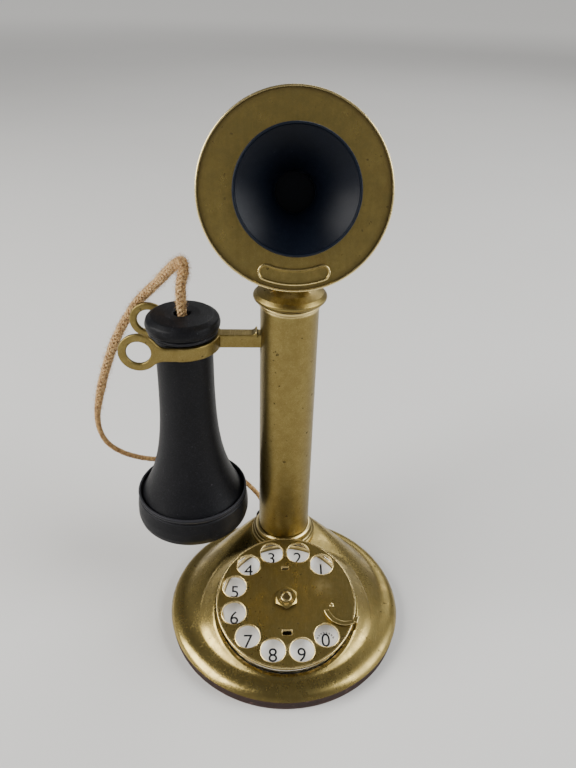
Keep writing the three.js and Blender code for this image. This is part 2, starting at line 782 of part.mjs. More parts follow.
function buttonBridge() {
  const high = cupFront - 6.1 - 9 - gap;
  const low = cupBack + face.cupWall + gap;
  const posts = [-1, 1].map((side) => rod(3.4, low, high - 2.5, 12).translate(side * cupScrews.x, 0, 0));
  const bores = [-1, 1].map((side) => {
    return rod(cupScrews.radius + gap, cupBack, cupBack + 9, 10).translate(side * cupScrews.x, 0, 0);
  });
  return cut(join(block([-18, -4, high - 3], [18, 4, high]), ...posts), ...bores);
}

function cupScrew(side) {
  const head = cupBack - gap;
  const profile = [
    [0, head - 1.7], [2.2, head - 1.7], [3, head - 0.8], [3, head],
    [cupScrews.radius, head], [cupScrews.radius, head + 8], [0, head + 8],
  ];
  return turned(profile, 12).translate(side * cupScrews.x, 0, 0);
}

// ---------------------------------------------------------------- receiver, round its own upright axis
const earFoot = capFoot - receiver.length;
const bodyFoot = earFoot + receiver.earHeight - 5;
const flangeTop = bodyFoot + 2.2;

// share runs from 0 at the ear cap to 1 under the top cap
function neckRadiusAt(share) {
  return receiver.neckRadius + receiver.flare * (1 - share) ** 3.7;
}

function receiverBody() {
  const high = capFoot + 2;
  const length = high - flangeTop;
  const shares = [0, 0.1, 0.2, 0.33, 0.5, 0.72, 1];
  const neck = shares.map((s) => [neckRadiusAt(s), flangeTop + length * s]);
  const inside = neck.map(([r, z]) => [r - receiver.wall, z]).reverse();
  const flange = [[receiver.flangeRadius, bodyFoot], [receiver.flangeRadius, flangeTop]];
  const foot = [neckRadiusAt(0) - receiver.wall, bodyFoot];
  return turned([...flange, ...neck, ...inside, foot, flange[0]], 24);
}

function receiverCap() {
  const { capOverhang, capHeight, cordHole: hole, neckRadius } = receiver;
  const capRadius = neckRadius + capOverhang;
  const low = capFoot;
  const high = low + capHeight;
  const rim = arc(capRadius - 4.4, high - 4.4, 4.4, 0, Math.PI / 2, 4);
  const inner = neckRadius + gap;
  const profile = [
    [inner, low], [capRadius - 2.4, low], [capRadius - 1.4, low + 1.2], [capRadius - 1.4, low + 2.2],
    [capRadius - 2.2, low + 2.9], [capRadius - 0.6, low + 3.6], ...rim, [hole, high + 0.2], [hole, high - 5.6],
    [inner, high - 5.6], [inner, low],
  ];
  return turned(profile, 24);
}

function earCap() {
  const { earRadius, earHeight, flangeRadius } = receiver;
  const low = earFoot;
  const high = low + earHeight;
  const inner = flangeRadius + gap;
  const lip = neckRadiusAt(0) + gap;
  const shelf = bodyFoot - 2.2;
  const profile = [
    [5, low + 2.6], [20, low + 1.6], [earRadius - 3, low], [earRadius, low + 3], [earRadius, high - 6],
    [earRadius - 1.2, high - 1.4], [lip + 1.4, high], [lip, high - 0.6], [lip, flangeTop + gap],
    [inner, flangeTop + gap], [inner, shelf], [inner - 4, shelf], [inner - 4, low + 5], [5, low + 5.6], [5, low + 2.6],
  ];
  return turned(profile, 28);
}

function receiverDiaphragm() {
  const low = bodyFoot - 1.6;
  return rod(receiver.flangeRadius - 0.6, low, low + 0.6, 28);
}

function receiverMagnet() {
  const low = bodyFoot + 16;
  const high = capFoot - 18;
  const legs = [-1, 1].map((side) => block([side * 6 - 2, -4, low], [side * 6 + 2, 4, high]));
  return join(block([-8, -4, high - 0.5], [8, 4, high + 5]), ...legs);
}

function receiverCoil(side) {
  const low = bodyFoot + 1.2;
  const core = block([side * 6 - 1.4, -4, low], [side * 6 + 1.4, 4, bodyFoot + 15.7]);
  const winding = block([side * 6 - 4.6, -7, low + 2.5], [side * 6 + 4.6, 7, low + 10.5]);
  return join(core, winding);
}

function receiverTerminals() {
  const low = capFoot - 11.5;
  const bar = block([-9, -4.5, low], [9, 4.5, low + 5]);
  const posts = [-1, 1].map((side) => rod(1.8, low + 4.9, low + 8, 12).translate(side * 5, 0, 0));
  return join(bar, ...posts);
}

// ---------------------------------------------------------------- receiver cord
// Points from the base's bushing to the receiver's cap, in three stretches.
const cordLow = [
  [-11, 60.4, 19.3], [-11.6, 65, 19.8], [-14, 70, 24], [-21.5, 73.2, 32], [-32, 75.3, 41], [-44, 76, 48.5],
  [-57, 75, 53], [-69, 72, 55.5], [-80, 68.3, 57.6], [-90, 65, 62], [-99, 62, 68.5], [-105.5, 59.5, 77],
  [-108.4, 57.5, 88], [-108.2, 56.3, 99], [-105.6, 56, 111.5],
];
const cordMiddle = [
  [-105.4, 56, 112], [-101.5, 56.2, 125.5], [-97.2, 57, 137.5], [-91.5, 58.4, 150.5], [-84.4, 59.2, 162.5],
  [-78.2, 58.6, 171],
];
const cordHigh = [
  [-77.8, 58.4, 171.5], [-72.4, 56.4, 177.6], [-66.5, 52, 184.5], [-60.6, 46, 192.5], [-55, 40, 199.3],
  [-52.2, 36.6, 201.6], [-51.4, 35.7, 198.5], [-53.2, 35.6, 190], [-53.6, 35.6, 182], [-53.4, 35.6, 173.5],
];

function cordStretch(points, radius, steps) {
  const path = new THREE.CatmullRomCurve3(points.map(([x, y, z]) => new THREE.Vector3(x, y, z)));
  const section = polygon(arc(0, 0, radius, 0, Math.PI * 2, 8).slice(0, 8));
  return closed(new THREE.ExtrudeGeometry(section, { steps, extrudePath: path, curveSegments: 1 }));
}

// ---------------------------------------------------------------- assembly
const telephone = new THREE.Group();

telephone.add(
  named("base_pad", basePad(), fibre()),
  named("base_shell", baseShell(), brass()),
  named("bottom_plate", bottomPlate(), steel()),
  ...postPlaces.map((place, i) => named(`plate_screw_${i + 1}`, plateScrew(place), steel())),
  named("terminal_strip", terminalStrip(), rubber()),
  named("cord_bushing", cordBushing(-1, cordHole.cordBore), rubber()),
  named("line_inlet_bushing", cordBushing(1, cordHole.lineBore), rubber()),
  named("stem_tube", stemTube(), brass()),
  named("stem_foot_collar", footCollar(), brass()),
  named("stem_ring_nut", stemRingNut(), brightBrass()),
  named("stem_cap", stemCap(), brass()),
  named("hook_pivot_pin", hookPivotPin(), steel()),
  named("tilt_screw", tiltScrew(), brightBrass()),
  named("tilt_nut", tiltNut(), brightBrass()),
  named("switch_spring_block", springBlock(), rubber()),
  ...springPlaces.map((x, i) => named(`switch_spring_${i + 1}`, contactSpring(x), nickel())),
  named("switch_hook", switchHook(), brass()),
);

dialFrame.add(
  named("dial_case", dialCase(), nickel()),
  named("number_plate", numberPlate(), enamel()),
  named("finger_stop", fingerStop(), brightBrass()),
  named("governor_cup", governorCup(), brightBrass()),
  named("mainspring_case", mainspringCase(), steel()),
  named("pulse_spring_block", pulseBlock(), rubber()),
  ...[-1, 1].map((side, i) => named(`pulse_spring_${i + 1}`, pulseSprings(side), nickel())),
  named("finger_wheel", fingerWheel(), brass()),
  named("hub_nut", hubNut(), brightBrass()),
  named("dial_shaft", dialShaft(), steel()),
  named("main_gear", mainGear(), brightBrass()),
  named("pulse_cam", pulseCam(), fibre()),
  named("governor_shaft", governorShaft(), steel()),
  named("governor_pinion", governorPinion(), steel()),
  named("governor_rotor", governorRotor(), brightBrass()),
);

faceFrame.add(
  named("faceplate", faceplate(), brass()),
  named("face_plaque", namePlaque(), brightBrass()),
  named("mouthpiece", mouthpiece(), rubber()),
  named("mouthpiece_collar", mouthpieceCollar(), brightBrass()),
  named("transmitter_cup", transmitterCup(), brass()),
  named("transmitter_diaphragm", transmitterDiaphragm(), steel()),
  named("carbon_button", carbonButton(), brightBrass()),
  named("button_bridge", buttonBridge(), brass()),
  ...[-1, 1].map((side, i) => named(`cup_screw_${i + 1}`, cupScrew(side), brightBrass())),
);

const receiverFrame = new THREE.Group();
receiverFrame.position.set(receiverX, stemY, 0);
receiverFrame.add(
  named("receiver_body", receiverBody(), rubber()),
  named("receiver_cap", receiverCap(), rubber()),
  named("ear_cap", earCap(), rubber()),
  named("receiver_diaphragm", receiverDiaphragm(), steel()),
  named("receiver_magnet", receiverMagnet(), steel()),
  ...[-1, 1].map((side, i) => named(`receiver_coil_${i + 1}`, receiverCoil(side), copper())),
  named("receiver_terminals", receiverTerminals(), rubber()),
);

telephone.add(dialFrame, faceFrame, receiverFrame);
telephone.add(
  named("receiver_cord_low", cordStretch(cordLow, cord.thin, 26), braid()),
  named("receiver_cord_middle", cordStretch(cordMiddle, cord.thick, 9), braid()),
  named("receiver_cord_high", cordStretch(cordHigh, cord.thick, 16), braid()),
);

export default telephone;
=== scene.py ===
import json
import math
import bmesh
import bpy
import numpy as np
from mathutils import Matrix, Vector


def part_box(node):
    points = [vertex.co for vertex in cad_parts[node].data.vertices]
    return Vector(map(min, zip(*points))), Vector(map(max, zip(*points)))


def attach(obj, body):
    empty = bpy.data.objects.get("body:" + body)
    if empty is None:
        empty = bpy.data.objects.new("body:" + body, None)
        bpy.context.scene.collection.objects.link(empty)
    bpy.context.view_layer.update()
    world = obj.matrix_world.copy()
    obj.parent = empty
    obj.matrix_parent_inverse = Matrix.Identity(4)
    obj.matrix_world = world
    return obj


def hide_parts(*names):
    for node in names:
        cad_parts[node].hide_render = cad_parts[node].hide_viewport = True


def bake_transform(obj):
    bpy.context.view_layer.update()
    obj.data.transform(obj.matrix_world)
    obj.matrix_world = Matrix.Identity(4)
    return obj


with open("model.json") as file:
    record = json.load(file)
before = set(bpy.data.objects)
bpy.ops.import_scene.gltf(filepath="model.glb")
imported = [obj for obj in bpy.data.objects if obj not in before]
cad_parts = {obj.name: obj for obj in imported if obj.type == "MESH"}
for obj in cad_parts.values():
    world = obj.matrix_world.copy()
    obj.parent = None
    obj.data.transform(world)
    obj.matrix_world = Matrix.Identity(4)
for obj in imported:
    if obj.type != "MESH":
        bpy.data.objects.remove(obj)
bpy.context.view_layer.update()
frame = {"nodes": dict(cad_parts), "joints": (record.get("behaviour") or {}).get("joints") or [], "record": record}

mm = 0.001
jointAt = {joint["name"]: joint for joint in frame["joints"]}


def pointOf(name):
    return Vector(jointAt[name]["pos_m"])


def shift(x, y, z):
    return Matrix.Translation((x * mm, y * mm, z * mm))


def middleOf(node):
    low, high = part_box(node)
    return (Vector(low) + Vector(high)) / 2


# Places that several pieces share, read from the frame, in metres.
dialAxis = Vector(jointAt["dial_spin"]["axis"])
dialSlope = math.atan2(-dialAxis.y, dialAxis.z)
stemMiddle = middleOf("stem_tube")
hookPoint = pointOf("hook_lift")
pivotPoint = pointOf("transmitter_tilt")
receiverMiddle = middleOf("receiver_body")
faceSet = {"forward": 17.6, "abovePivot": 44.6, "lean": math.radians(17.5)}

dialPlace = Matrix.Translation(pointOf("dial_spin")) @ Matrix.Rotation(dialSlope, 4, "X")
faceMiddle = pivotPoint + Vector((0, -faceSet["forward"], faceSet["abovePivot"])) * mm
facePlace = Matrix.Translation(faceMiddle) @ Matrix.Rotation(math.pi / 2 - faceSet["lean"], 4, "X")
stemPlace = Matrix.Translation((stemMiddle.x, stemMiddle.y, 0))
receiverPlace = Matrix.Translation((receiverMiddle.x, receiverMiddle.y, 0))
stemY = stemMiddle.y / mm
hookZ = hookPoint.z / mm
pivotZ = pivotPoint.z / mm
receiverX = receiverMiddle.x / mm
hookPlace = shift(0, stemY, hookZ)
quarterX = Matrix.Rotation(math.pi / 2, 4, "X")
quarterY = Matrix.Rotation(math.pi / 2, 4, "Y")


cameraSet = {
    "place": (-15.7, -271.2, 324.4),
    "pitch": 0.556,
    "yaw": 0.052,
    "roll": 0.03,
    "lens": 21.25,
    "sensor": 24.0,
}


def makeCamera(look):
    pitch, yaw, roll = look["pitch"], look["yaw"], look["roll"]
    ahead = Vector((math.sin(yaw) * math.cos(pitch), math.cos(yaw) * math.cos(pitch), -math.sin(pitch)))
    level = Vector((math.cos(yaw), -math.sin(yaw), 0))
    above = level.cross(ahead)
    right = level * math.cos(roll) + above * math.sin(roll)
    up = above * math.cos(roll) - level * math.sin(roll)
    data = bpy.data.cameras.new("camera")
    data.sensor_fit = "VERTICAL"
    data.sensor_height = look["sensor"]
    data.lens = look["lens"]
    data.clip_start = 0.01
    data.clip_end = 30
    camera = bpy.data.objects.new("camera", data)
    turn = Matrix((right, up, -ahead)).transposed().to_4x4()
    camera.matrix_world = Matrix.Translation(Vector(look["place"]) * mm) @ turn
    bpy.context.collection.objects.link(camera)
    bpy.context.scene.camera = camera


makeCamera(cameraSet)
print("camera ready")


# A socket that takes part in arithmetic by adding nodes to its graph.
class Wire:
    def __init__(self, graph, socket):
        self.graph = graph
        self.socket = socket

    def __add__(self, other):
        return self.graph.maths("ADD", self, other)

    def __radd__(self, other):
        return self.graph.maths("ADD", other, self)

    def __sub__(self, other):
        return self.graph.maths("SUBTRACT", self, other)

    def __rsub__(self, other):
        return self.graph.maths("SUBTRACT", other, self)

    def __mul__(self, other):
        return self.graph.maths("MULTIPLY", self, other)

    def __rmul__(self, other):
        return self.graph.maths("MULTIPLY", other, self)

    def __truediv__(self, other):
        return self.graph.maths("DIVIDE", self, other)


class Graph:
    def __init__(self, tree):
        self.tree = tree
        tree.nodes.clear()

    def add(self, kind, settings=None, sockets=None):
        node = self.tree.nodes.new(kind)
        for key, value in (settings or {}).items():
            setattr(node, key, value)
        for key, value in (sockets or {}).items():
            if isinstance(value, Wire):
                self.tree.links.new(value.socket, node.inputs[key])
            elif value is not None:
                node.inputs[key].default_value = value
        return node

    def out(self, node, key=0):
        return Wire(self, node.outputs[key])

    def maths(self, operation, *values):
        return self.out(self.add("ShaderNodeMath", {"operation": operation}, dict(enumerate(values))))

    def objectPlace(self):
        return self.out(self.add("ShaderNodeTexCoord"), "Object")

    def moved(self, place, shift=(0, 0, 0), turn=(0, 0, 0), scale=(1, 1, 1)):
        sockets = {"Vector": place, "Location": shift, "Rotation": turn, "Scale": scale}
        return self.out(self.add("ShaderNodeMapping", None, sockets))

    def noise(self, place, scale, detail=3, roughness=0.55, distortion=0.0):
        sockets = {
            "Vector": place, "Scale": scale, "Detail": detail,
            "Roughness": roughness, "Distortion": distortion,
        }
        return self.out(self.add("ShaderNodeTexNoise", None, sockets))

    def step(self, value, low, high, start=0.0, end=1.0):
        sockets = {"Value": value, "From Min": low, "From Max": high, "To Min": start, "To Max": end}
        settings = {"interpolation_type": "SMOOTHSTEP", "clamp": True}
        return self.out(self.add("ShaderNodeMapRange", settings, sockets))

    def mix(self, amount, first, second):
        settings = {"data_type": "RGBA", "clamp_factor": True}
        return self.out(self.add("ShaderNodeMix", settings, {0: amount, 6: first, 7: second}), 2)

    def mark(self, name):
        return self.out(self.add("ShaderNodeAttribute", {"attribute_name": name}), "Fac")

    def parts(self, place):
        node = self.add("ShaderNodeSeparateXYZ", None, {0: place})
        return [self.out(node, i) for i in range(3)]

    # How near a place is to a point, 1 at the point and 0 from reach on.
    def spot(self, place, point, reach):
        sockets = {0: place, 1: point}
        node = self.add("ShaderNodeVectorMath", {"operation": "DISTANCE"}, sockets)
        return self.step(self.out(node, "Value"), reach, 0.0)

    def surface(self, fixed, varying, height=None, distance=0.0, strength=0.0):
        if height is not None:
            sockets = {"Strength": strength, "Distance": distance, "Height": height}
            varying = {**varying, "Normal": self.out(self.add("ShaderNodeBump", None, sockets))}
        shader = self.add("ShaderNodeBsdfPrincipled", None, {**fixed, **varying})
        self.add("ShaderNodeOutputMaterial", None, {"Surface": self.out(shader)})


def startMaterial(name):
    material = bpy.data.materials.new(name)
    material.use_nodes = True
    return material, Graph(material.node_tree)


def colour(red, green, blue):
    return (red, green, blue, 1.0)


brassTones = {
    "clean": colour(0.46, 0.345, 0.11),
    "dark": colour(0.20, 0.148, 0.047),
    "olive": colour(0.28, 0.222, 0.078),
    "red": colour(0.27, 0.15, 0.05),
    "bright": colour(0.86, 0.69, 0.32),
    "grime": colour(0.045, 0.03, 0.014),
}


# Hairline scratches: thin bands of a noise drawn out along one direction.
def scratches(g, place, turn, across, along, width):
    drawn = g.noise(g.moved(place, turn=turn, scale=(across, along, across)), 1.0, 2, 0.5, 0.2)
    return g.step(g.maths("ABSOLUTE", drawn - 0.5), 0.0, width, 1.0, 0.0)


brassScale = {"fine": 950, "mottle": 210, "spots": 330, "reds": 34}


def agedBrass(name, look):
    material, g = startMaterial(name)
    place = g.moved(g.objectPlace(), shift=look["shift"])
    cloud = g.noise(place, look["cloud"], 5, 0.6, 0.6)
    drawn = g.noise(g.moved(place, scale=look["grain"]), 1.0, 4, 0.65, 0.3)
    fine = g.noise(place, brassScale["fine"], 3, 0.6)
    mottle = g.noise(place, brassScale["mottle"], 4, 0.65)
    tarnish = g.step(cloud * 0.6 + drawn * 0.4 + (mottle - 0.5) * 0.35, look["from"], look["to"])
    spots = g.step(g.noise(g.moved(place, shift=(3, 1, 2)), brassScale["spots"], 2, 0.5), 0.69, 0.74)
    reddish = g.noise(g.moved(place, shift=(7, 2, 5)), brassScale["reds"], 3, 0.6, 0.8)
    reds = g.step(reddish, 0.56, 0.76) * look["reds"]
    hair = scratches(g, place, (0.3, 0.2, 0.9), 900, 40, 0.018)
    hair += scratches(g, place, (0.1, 1.2, -0.5), 800, 34, 0.014)
    wear = g.mark("wear")
    hollow = g.mark("hollow")
    base = g.mix(tarnish, brassTones["clean"], brassTones["dark"])
    base = g.mix(g.step(mottle, 0.35, 0.7) * 0.45, base, brassTones["olive"])
    base = g.mix(reds, base, brassTones["red"])
    base = g.mix(spots * 0.75, base, brassTones["grime"])
    base = g.mix(hair * 0.12, base, brassTones["bright"])
    if look.get("patch"):
        worn = g.spot(g.objectPlace(), look["patch"], look["patchReach"]) * g.step(mottle, 0.3, 0.6)
        base = g.mix(worn * 0.55, base, brassTones["bright"])
    edges = g.step(wear + (fine - 0.5) * 0.5, 0.25, 0.85)
    base = g.mix(edges * look["edge"], base, brassTones["bright"])
    base = g.mix(hollow * 0.8, base, brassTones["grime"])
    rough = look["rough"] + tarnish * 0.16 + (fine - 0.5) * 0.12 + spots * 0.25 - wear * 0.08 + hollow * 0.2
    height = fine * 0.25 + mottle * 0.5 - spots * 0.5 - hair * 0.22
    fixed = {"Metallic": 1.0, "IOR": 1.5}
    g.surface(fixed, {"Base Color": base, "Roughness": rough}, height, 0.06 * mm, look["bump"])
    return material


rubberScale = {"cloud": 55, "fine": 1300, "dust": 620}


def hardRubber(name, look):
    material, g = startMaterial(name)
    place = g.objectPlace()
    cloud = g.noise(place, rubberScale["cloud"], 4, 0.6, 0.4)
    fine = g.noise(place, rubberScale["fine"], 3, 0.6)
    hair = scratches(g, place, (0.2, 0.1, 0.15), 1000, 45, 0.012)
    hair += scratches(g, place, (0.9, 0.3, 1.4), 700, 60, 0.01)
    dust = g.step(g.noise(g.moved(place, shift=(4, 4, 1)), rubberScale["dust"], 2, 0.5), 0.72, 0.76)
    wear = g.mark("wear")
    base = g.mix(cloud, look["deep"], look["worn"])
    base = g.mix(hair * 0.25, base, look["scratch"])
    base = g.mix(dust * 0.5, base, look["scratch"])
    base = g.mix(g.step(wear, 0.2, 0.9) * 0.35, base, look["scratch"])
    rough = look["rough"] + cloud * 0.14 + (fine - 0.5) * 0.1 - wear * 0.05
    height = fine * 0.3 - hair * 0.3 + dust * 0.3
    fixed = {"IOR": 1.34, "Specular IOR Level": 0.24}
    g.surface(fixed, {"Base Color": base, "Roughness": rough}, height, 0.05 * mm, 0.45)
    return material


def plainMetal(name, look):
    material, g = startMaterial(name)
    place = g.objectPlace()
    cloud = g.noise(place, 120, 4, 0.6)
    fine = g.noise(g.moved(place, scale=look["grain"]), 1.0, 3, 0.6)
    wear = g.mark("wear")
    base = g.mix(g.step(cloud, 0.35, 0.75), look["clean"], look["dull"])
    base = g.mix(wear * 0.5, base, look["bright"])
    rough = look["rough"] + (fine - 0.5) * 0.2 + cloud * 0.1
    g.surface({"Metallic": 1.0}, {"Base Color": base, "Roughness": rough}, fine, 0.04 * mm, 0.4)
    return material


enamelSet = {
    "white": colour(0.86, 0.87, 0.88), "clouded": colour(0.74, 0.745, 0.74), "drawn": colour(0.52, 0.53, 0.54),
    # The dark colour serves the enamel's real chips and the painted shade under the wheel's slots; the glow is
    # painted light.
    "gap": colour(0.012, 0.012, 0.011), "glow": colour(0.2, 0.2, 0.205),
    "upperSlotShade": (0, 21.7, -6), "upperReach": 2.6, "lowerSlotShade": (0, -15.8, -6), "lowerReach": 3.6,
}


# The two slot shades are painted shade: dark patches on the enamel under the slots of the finger wheel, which also
# get none of the painted glow.
def enamelWhite(name, look):
    material, g = startMaterial(name)
    place = g.objectPlace()
    cloud = g.noise(place, 90, 4, 0.6)
    grain = g.noise(g.moved(place, scale=(900, 120, 900)), 1.0, 3, 0.6)
    chips = g.step(g.noise(place, 480, 2, 0.5), 0.75, 0.78)
    upper = g.spot(place, tuple(dialPlace @ (Vector(look["upperSlotShade"]) * mm)), look["upperReach"] * mm)
    lower = g.spot(place, tuple(dialPlace @ (Vector(look["lowerSlotShade"]) * mm)), look["lowerReach"] * mm)
    # Painted shade under the wheel's two slots.
    gaps = g.step(g.maths("MAXIMUM", upper, lower), 0.0, 0.1)
    base = g.mix(g.step(cloud, 0.4, 0.75) * 0.6, look["white"], look["clouded"])
    base = g.mix(g.step(grain, 0.5, 0.8) * 0.25, base, look["drawn"])
    # Dark for the real chips and for the painted shade under the slots.
    base = g.mix(g.maths("MAXIMUM", chips, gaps), base, look["gap"])
    rough = 0.2 + cloud * 0.15 + chips * 0.3
    # Painted light: the enamel glows faintly so it stays white deep in the finger holes, with no glow under the
    # slots.
    glow = g.mix(gaps, look["glow"], colour(0, 0, 0))
    fixed = {"IOR": 1.5, "Coat Weight": 0.3, "Coat Roughness": 0.08, "Emission Strength": 1.0}
    varying = {"Base Color": base, "Roughness": rough, "Emission Color": glow}
    g.surface(fixed, varying, grain * 0.4 + cloud, 0.03 * mm, 0.3)
    return material


def digitInk(name):
    material, g = startMaterial(name)
    fine = g.noise(g.objectPlace(), 1500, 3, 0.6)
    base = g.mix(g.step(fine, 0.45, 0.75), colour(0.004, 0.005, 0.012), colour(0.016, 0.019, 0.034))
    g.surface({"IOR": 1.3}, {"Base Color": base, "Roughness": 0.55 + fine * 0.15})
    return material


def leatherBoard(name):
    material, g = startMaterial(name)
    place = g.objectPlace()
    cloud = g.noise(place, 60, 4, 0.6, 0.5)
    grain = g.noise(place, 700, 4, 0.7)
    layers = g.noise(g.moved(place, scale=(60, 60, 1400)), 1.0, 3, 0.6)
    scuff = g.step(g.noise(g.moved(place, shift=(2, 5, 0), scale=(1, 1, 2.5)), 95, 5, 0.7, 0.6), 0.57, 0.7)
    wear = g.mark("wear")
    base = g.mix(cloud, colour(0.03, 0.009, 0.005), colour(0.013, 0.006, 0.004))
    base = g.mix(scuff * 0.55, base, colour(0.24, 0.13, 0.105))
    base = g.mix(wear * 0.4, base, colour(0.17, 0.07, 0.055))
    rough = 0.62 + grain * 0.25
    height = grain * 0.6 + layers * 0.6 - scuff * 0.4
    g.surface({"IOR": 1.45}, {"Base Color": base, "Roughness": rough}, height, 0.22 * mm, 0.7)
    return material


# The mark "along" runs from 0 at the base to 1 at the receiver.
def braidCloth(name):
    material, g = startMaterial(name)
    place = g.objectPlace()
    along = g.mark("along")
    dirt = g.noise(place, 70, 4, 0.6, 0.5)
    fine = g.noise(place, 1900, 3, 0.65)
    yarn = g.noise(place, 620, 3, 0.7)
    frayed = g.step(along, 0.45, 0.62)
    base = g.mix(g.step(yarn, 0.38, 0.62), colour(0.25, 0.12, 0.035), colour(0.60, 0.36, 0.125))
    base = g.mix(g.step(fine, 0.5, 0.72) * 0.55, base, colour(0.80, 0.58, 0.29))
    base = g.mix(g.step(dirt, 0.45, 0.8) * 0.5, base, colour(0.26, 0.145, 0.06))
    base = g.mix(frayed * 0.45 * g.step(yarn, 0.3, 0.65), base, colour(0.86, 0.62, 0.32))
    fixed = {"IOR": 1.4, "Sheen Weight": 0.35, "Sheen Roughness": 0.5}
    g.surface(fixed, {"Base Color": base, "Roughness": 0.7 + fine * 0.25}, fine, 0.12 * mm, 0.8)
    return material


def paleFloor(name):
    material, g = startMaterial(name)
    place = g.objectPlace()
    cloud = g.noise(place, 3.0, 3, 0.5)
    base = g.mix(cloud, colour(0.70, 0.69, 0.665), colour(0.75, 0.74, 0.715))
    distance = g.out(g.add("ShaderNodeVectorMath", {"operation": "LENGTH"}, {0: place}), "Value")
    far = g.step(distance, 0.9, 5.0)
    glow = g.mix(far, colour(0, 0, 0), colour(0.42, 0.415, 0.40))
    fixed = {"IOR": 1.3, "Specular IOR Level": 0.2, "Emission Strength": 1.0}
    g.surface(fixed, {"Base Color": base, "Roughness": 0.85 + cloud * 0.1, "Emission Color": glow})
    return material


brassLooks = {
    "base": {"cloud": 28, "grain": (60, 40, 60), "from": 0.36, "to": 0.66, "reds": 0.35, "edge": 0.8,
             "rough": 0.2, "bump": 0.35, "shift": (0.0, 0.0, 0.0)},
    "wheel": {"cloud": 34, "grain": (260, 30, 60), "from": 0.26, "to": 0.66, "reds": 0.22, "edge": 0.95,
              "rough": 0.24, "bump": 0.5, "shift": (0.3, 0.1, 0.2)},
    "stem": {"cloud": 26, "grain": (220, 220, 9), "from": 0.0, "to": 0.42, "reds": 0.12, "edge": 0.6,
             "rough": 0.22, "bump": 0.4, "shift": (0.6, 0.4, 0.1)},
    "face": {"cloud": 22, "grain": (150, 30, 12), "from": 0.3, "to": 0.74, "reds": 0.3, "edge": 0.95,
             "rough": 0.27, "bump": 0.4, "shift": (0.2, 0.9, 0.5)},
    "hook": {"cloud": 60, "grain": (60, 90, 90), "from": -0.1, "to": 0.36, "reds": 0.3, "edge": 0.7,
             "rough": 0.26, "bump": 0.6, "shift": (0.8, 0.3, 0.9)},
    "small": {"cloud": 90, "grain": (120, 120, 60), "from": 0.4, "to": 0.8, "reds": 0.1, "edge": 1.0,
              "rough": 0.22, "bump": 0.5, "shift": (0.5, 0.7, 0.3)},
}
# A bright patch worn into the wheel.
brassLooks["wheel"]["patch"] = tuple(dialPlace @ (Vector((20.0, 6.5, 0.0)) * mm))
brassLooks["wheel"]["patchReach"] = 7.5 * mm
rubberLooks = {
    "receiver": {"deep": colour(0.0035, 0.0038, 0.005), "worn": colour(0.008, 0.008, 0.0095),
                 "scratch": colour(0.07, 0.07, 0.08), "rough": 0.36},
    "mouth": {"deep": colour(0.0012, 0.0018, 0.004), "worn": colour(0.003, 0.005, 0.011),
              "scratch": colour(0.018, 0.024, 0.036), "rough": 0.3},
}
metalLooks = {
    "nickel": {"clean": colour(0.86, 0.85, 0.80), "dull": colour(0.66, 0.63, 0.56),
               "bright": colour(0.85, 0.84, 0.80), "rough": 0.22, "grain": (90, 90, 900)},
    "steel": {"clean": colour(0.42, 0.43, 0.44), "dull": colour(0.24, 0.23, 0.22),
              "bright": colour(0.75, 0.76, 0.77), "rough": 0.34, "grain": (90, 700, 90)},
    "copper": {"clean": colour(0.60, 0.28, 0.14), "dull": colour(0.36, 0.15, 0.08),
               "bright": colour(0.9, 0.5, 0.3), "rough": 0.35, "grain": (90, 90, 1600)},
}
finishes = {f"brass_{key}": agedBrass(f"brass_{key}", look) for key, look in brassLooks.items()}
finishes.update({f"rubber_{key}": hardRubber(f"rubber_{key}", look) for key, look in rubberLooks.items()})
finishes.update({key: plainMetal(key, look) for key, look in metalLooks.items()})
finishes["enamel"] = enamelWhite("enamel", enamelSet)
finishes["ink"] = digitInk("ink")
finishes["leather_board"] = leatherBoard("leather_board")
finishes["braid"] = braidCloth("braid")
print("finishes ready")


def meshObject(name, points, faces):
    mesh = bpy.data.meshes.new(name)
    mesh.from_pydata([tuple(p) for p in points], [], [tuple(f) for f in faces])
    thing = bpy.data.objects.new(name, mesh)
    bpy.context.collection.objects.link(thing)
    return thing


def editMesh(thing, action):
    work = bmesh.new()
    work.from_mesh(thing.data)
    action(work)
    work.to_mesh(thing.data)
    work.free()
    thing.data.update()
    return thing


def faceOutwards(thing, merge=1e-7):
    def action(work):
        bmesh.ops.remove_doubles(work, verts=work.verts, dist=merge)
        bmesh.ops.recalc_face_normals(work, faces=work.faces)
    return editMesh(thing, action)


def moveMesh(thing, matrix):
    thing.data.transform(matrix)
    thing.data.update()
    return thing


def placed(thing, place):
    return moveMesh(thing, place) if place is not None else thing


# Turns what the modifiers make into the piece's own mesh.
def keepResult(thing):
    bpy.context.view_layer.update()
    graph = bpy.context.evaluated_depsgraph_get()
    made = bpy.data.meshes.new_from_object(thing.evaluated_get(graph), depsgraph=graph)
    if thing.type == "MESH":
        thing.modifiers.clear()
        thing.data = made
        return thing
    name = thing.name
    bpy.data.objects.remove(thing)
    plain = bpy.data.objects.new(name, made)
    bpy.context.collection.objects.link(plain)
    return plain


# Rounds each corner of a profile that has a third number, its radius.
def rounded(points, steps=4):
    done = []
    count = len(points)
    for i, point in enumerate(points):
        if len(point) < 3 or point[2] <= 0:
            done.append((point[0], point[1]))
            continue
        here = Vector(point[:2])
        before = Vector(points[i - 1][:2]) - here
        after = Vector(points[(i + 1) % count][:2]) - here
        angle = before.angle(after, math.pi)
        if angle > math.radians(176):
            done.append(tuple(here))
            continue
        reach = min(point[2] / math.tan(angle / 2), before.length * 0.49, after.length * 0.49)
        start = here + before.normalized() * reach
        end = here + after.normalized() * reach
        for k in range(steps + 1):
            t = k / steps
            done.append(tuple(start * (1 - t) ** 2 + here * 2 * t * (1 - t) + end * t * t))
    return done


# The same profile at another height.
def raised(profile, height):
    return [(point[0], point[1] + height, *point[2:]) for point in profile]


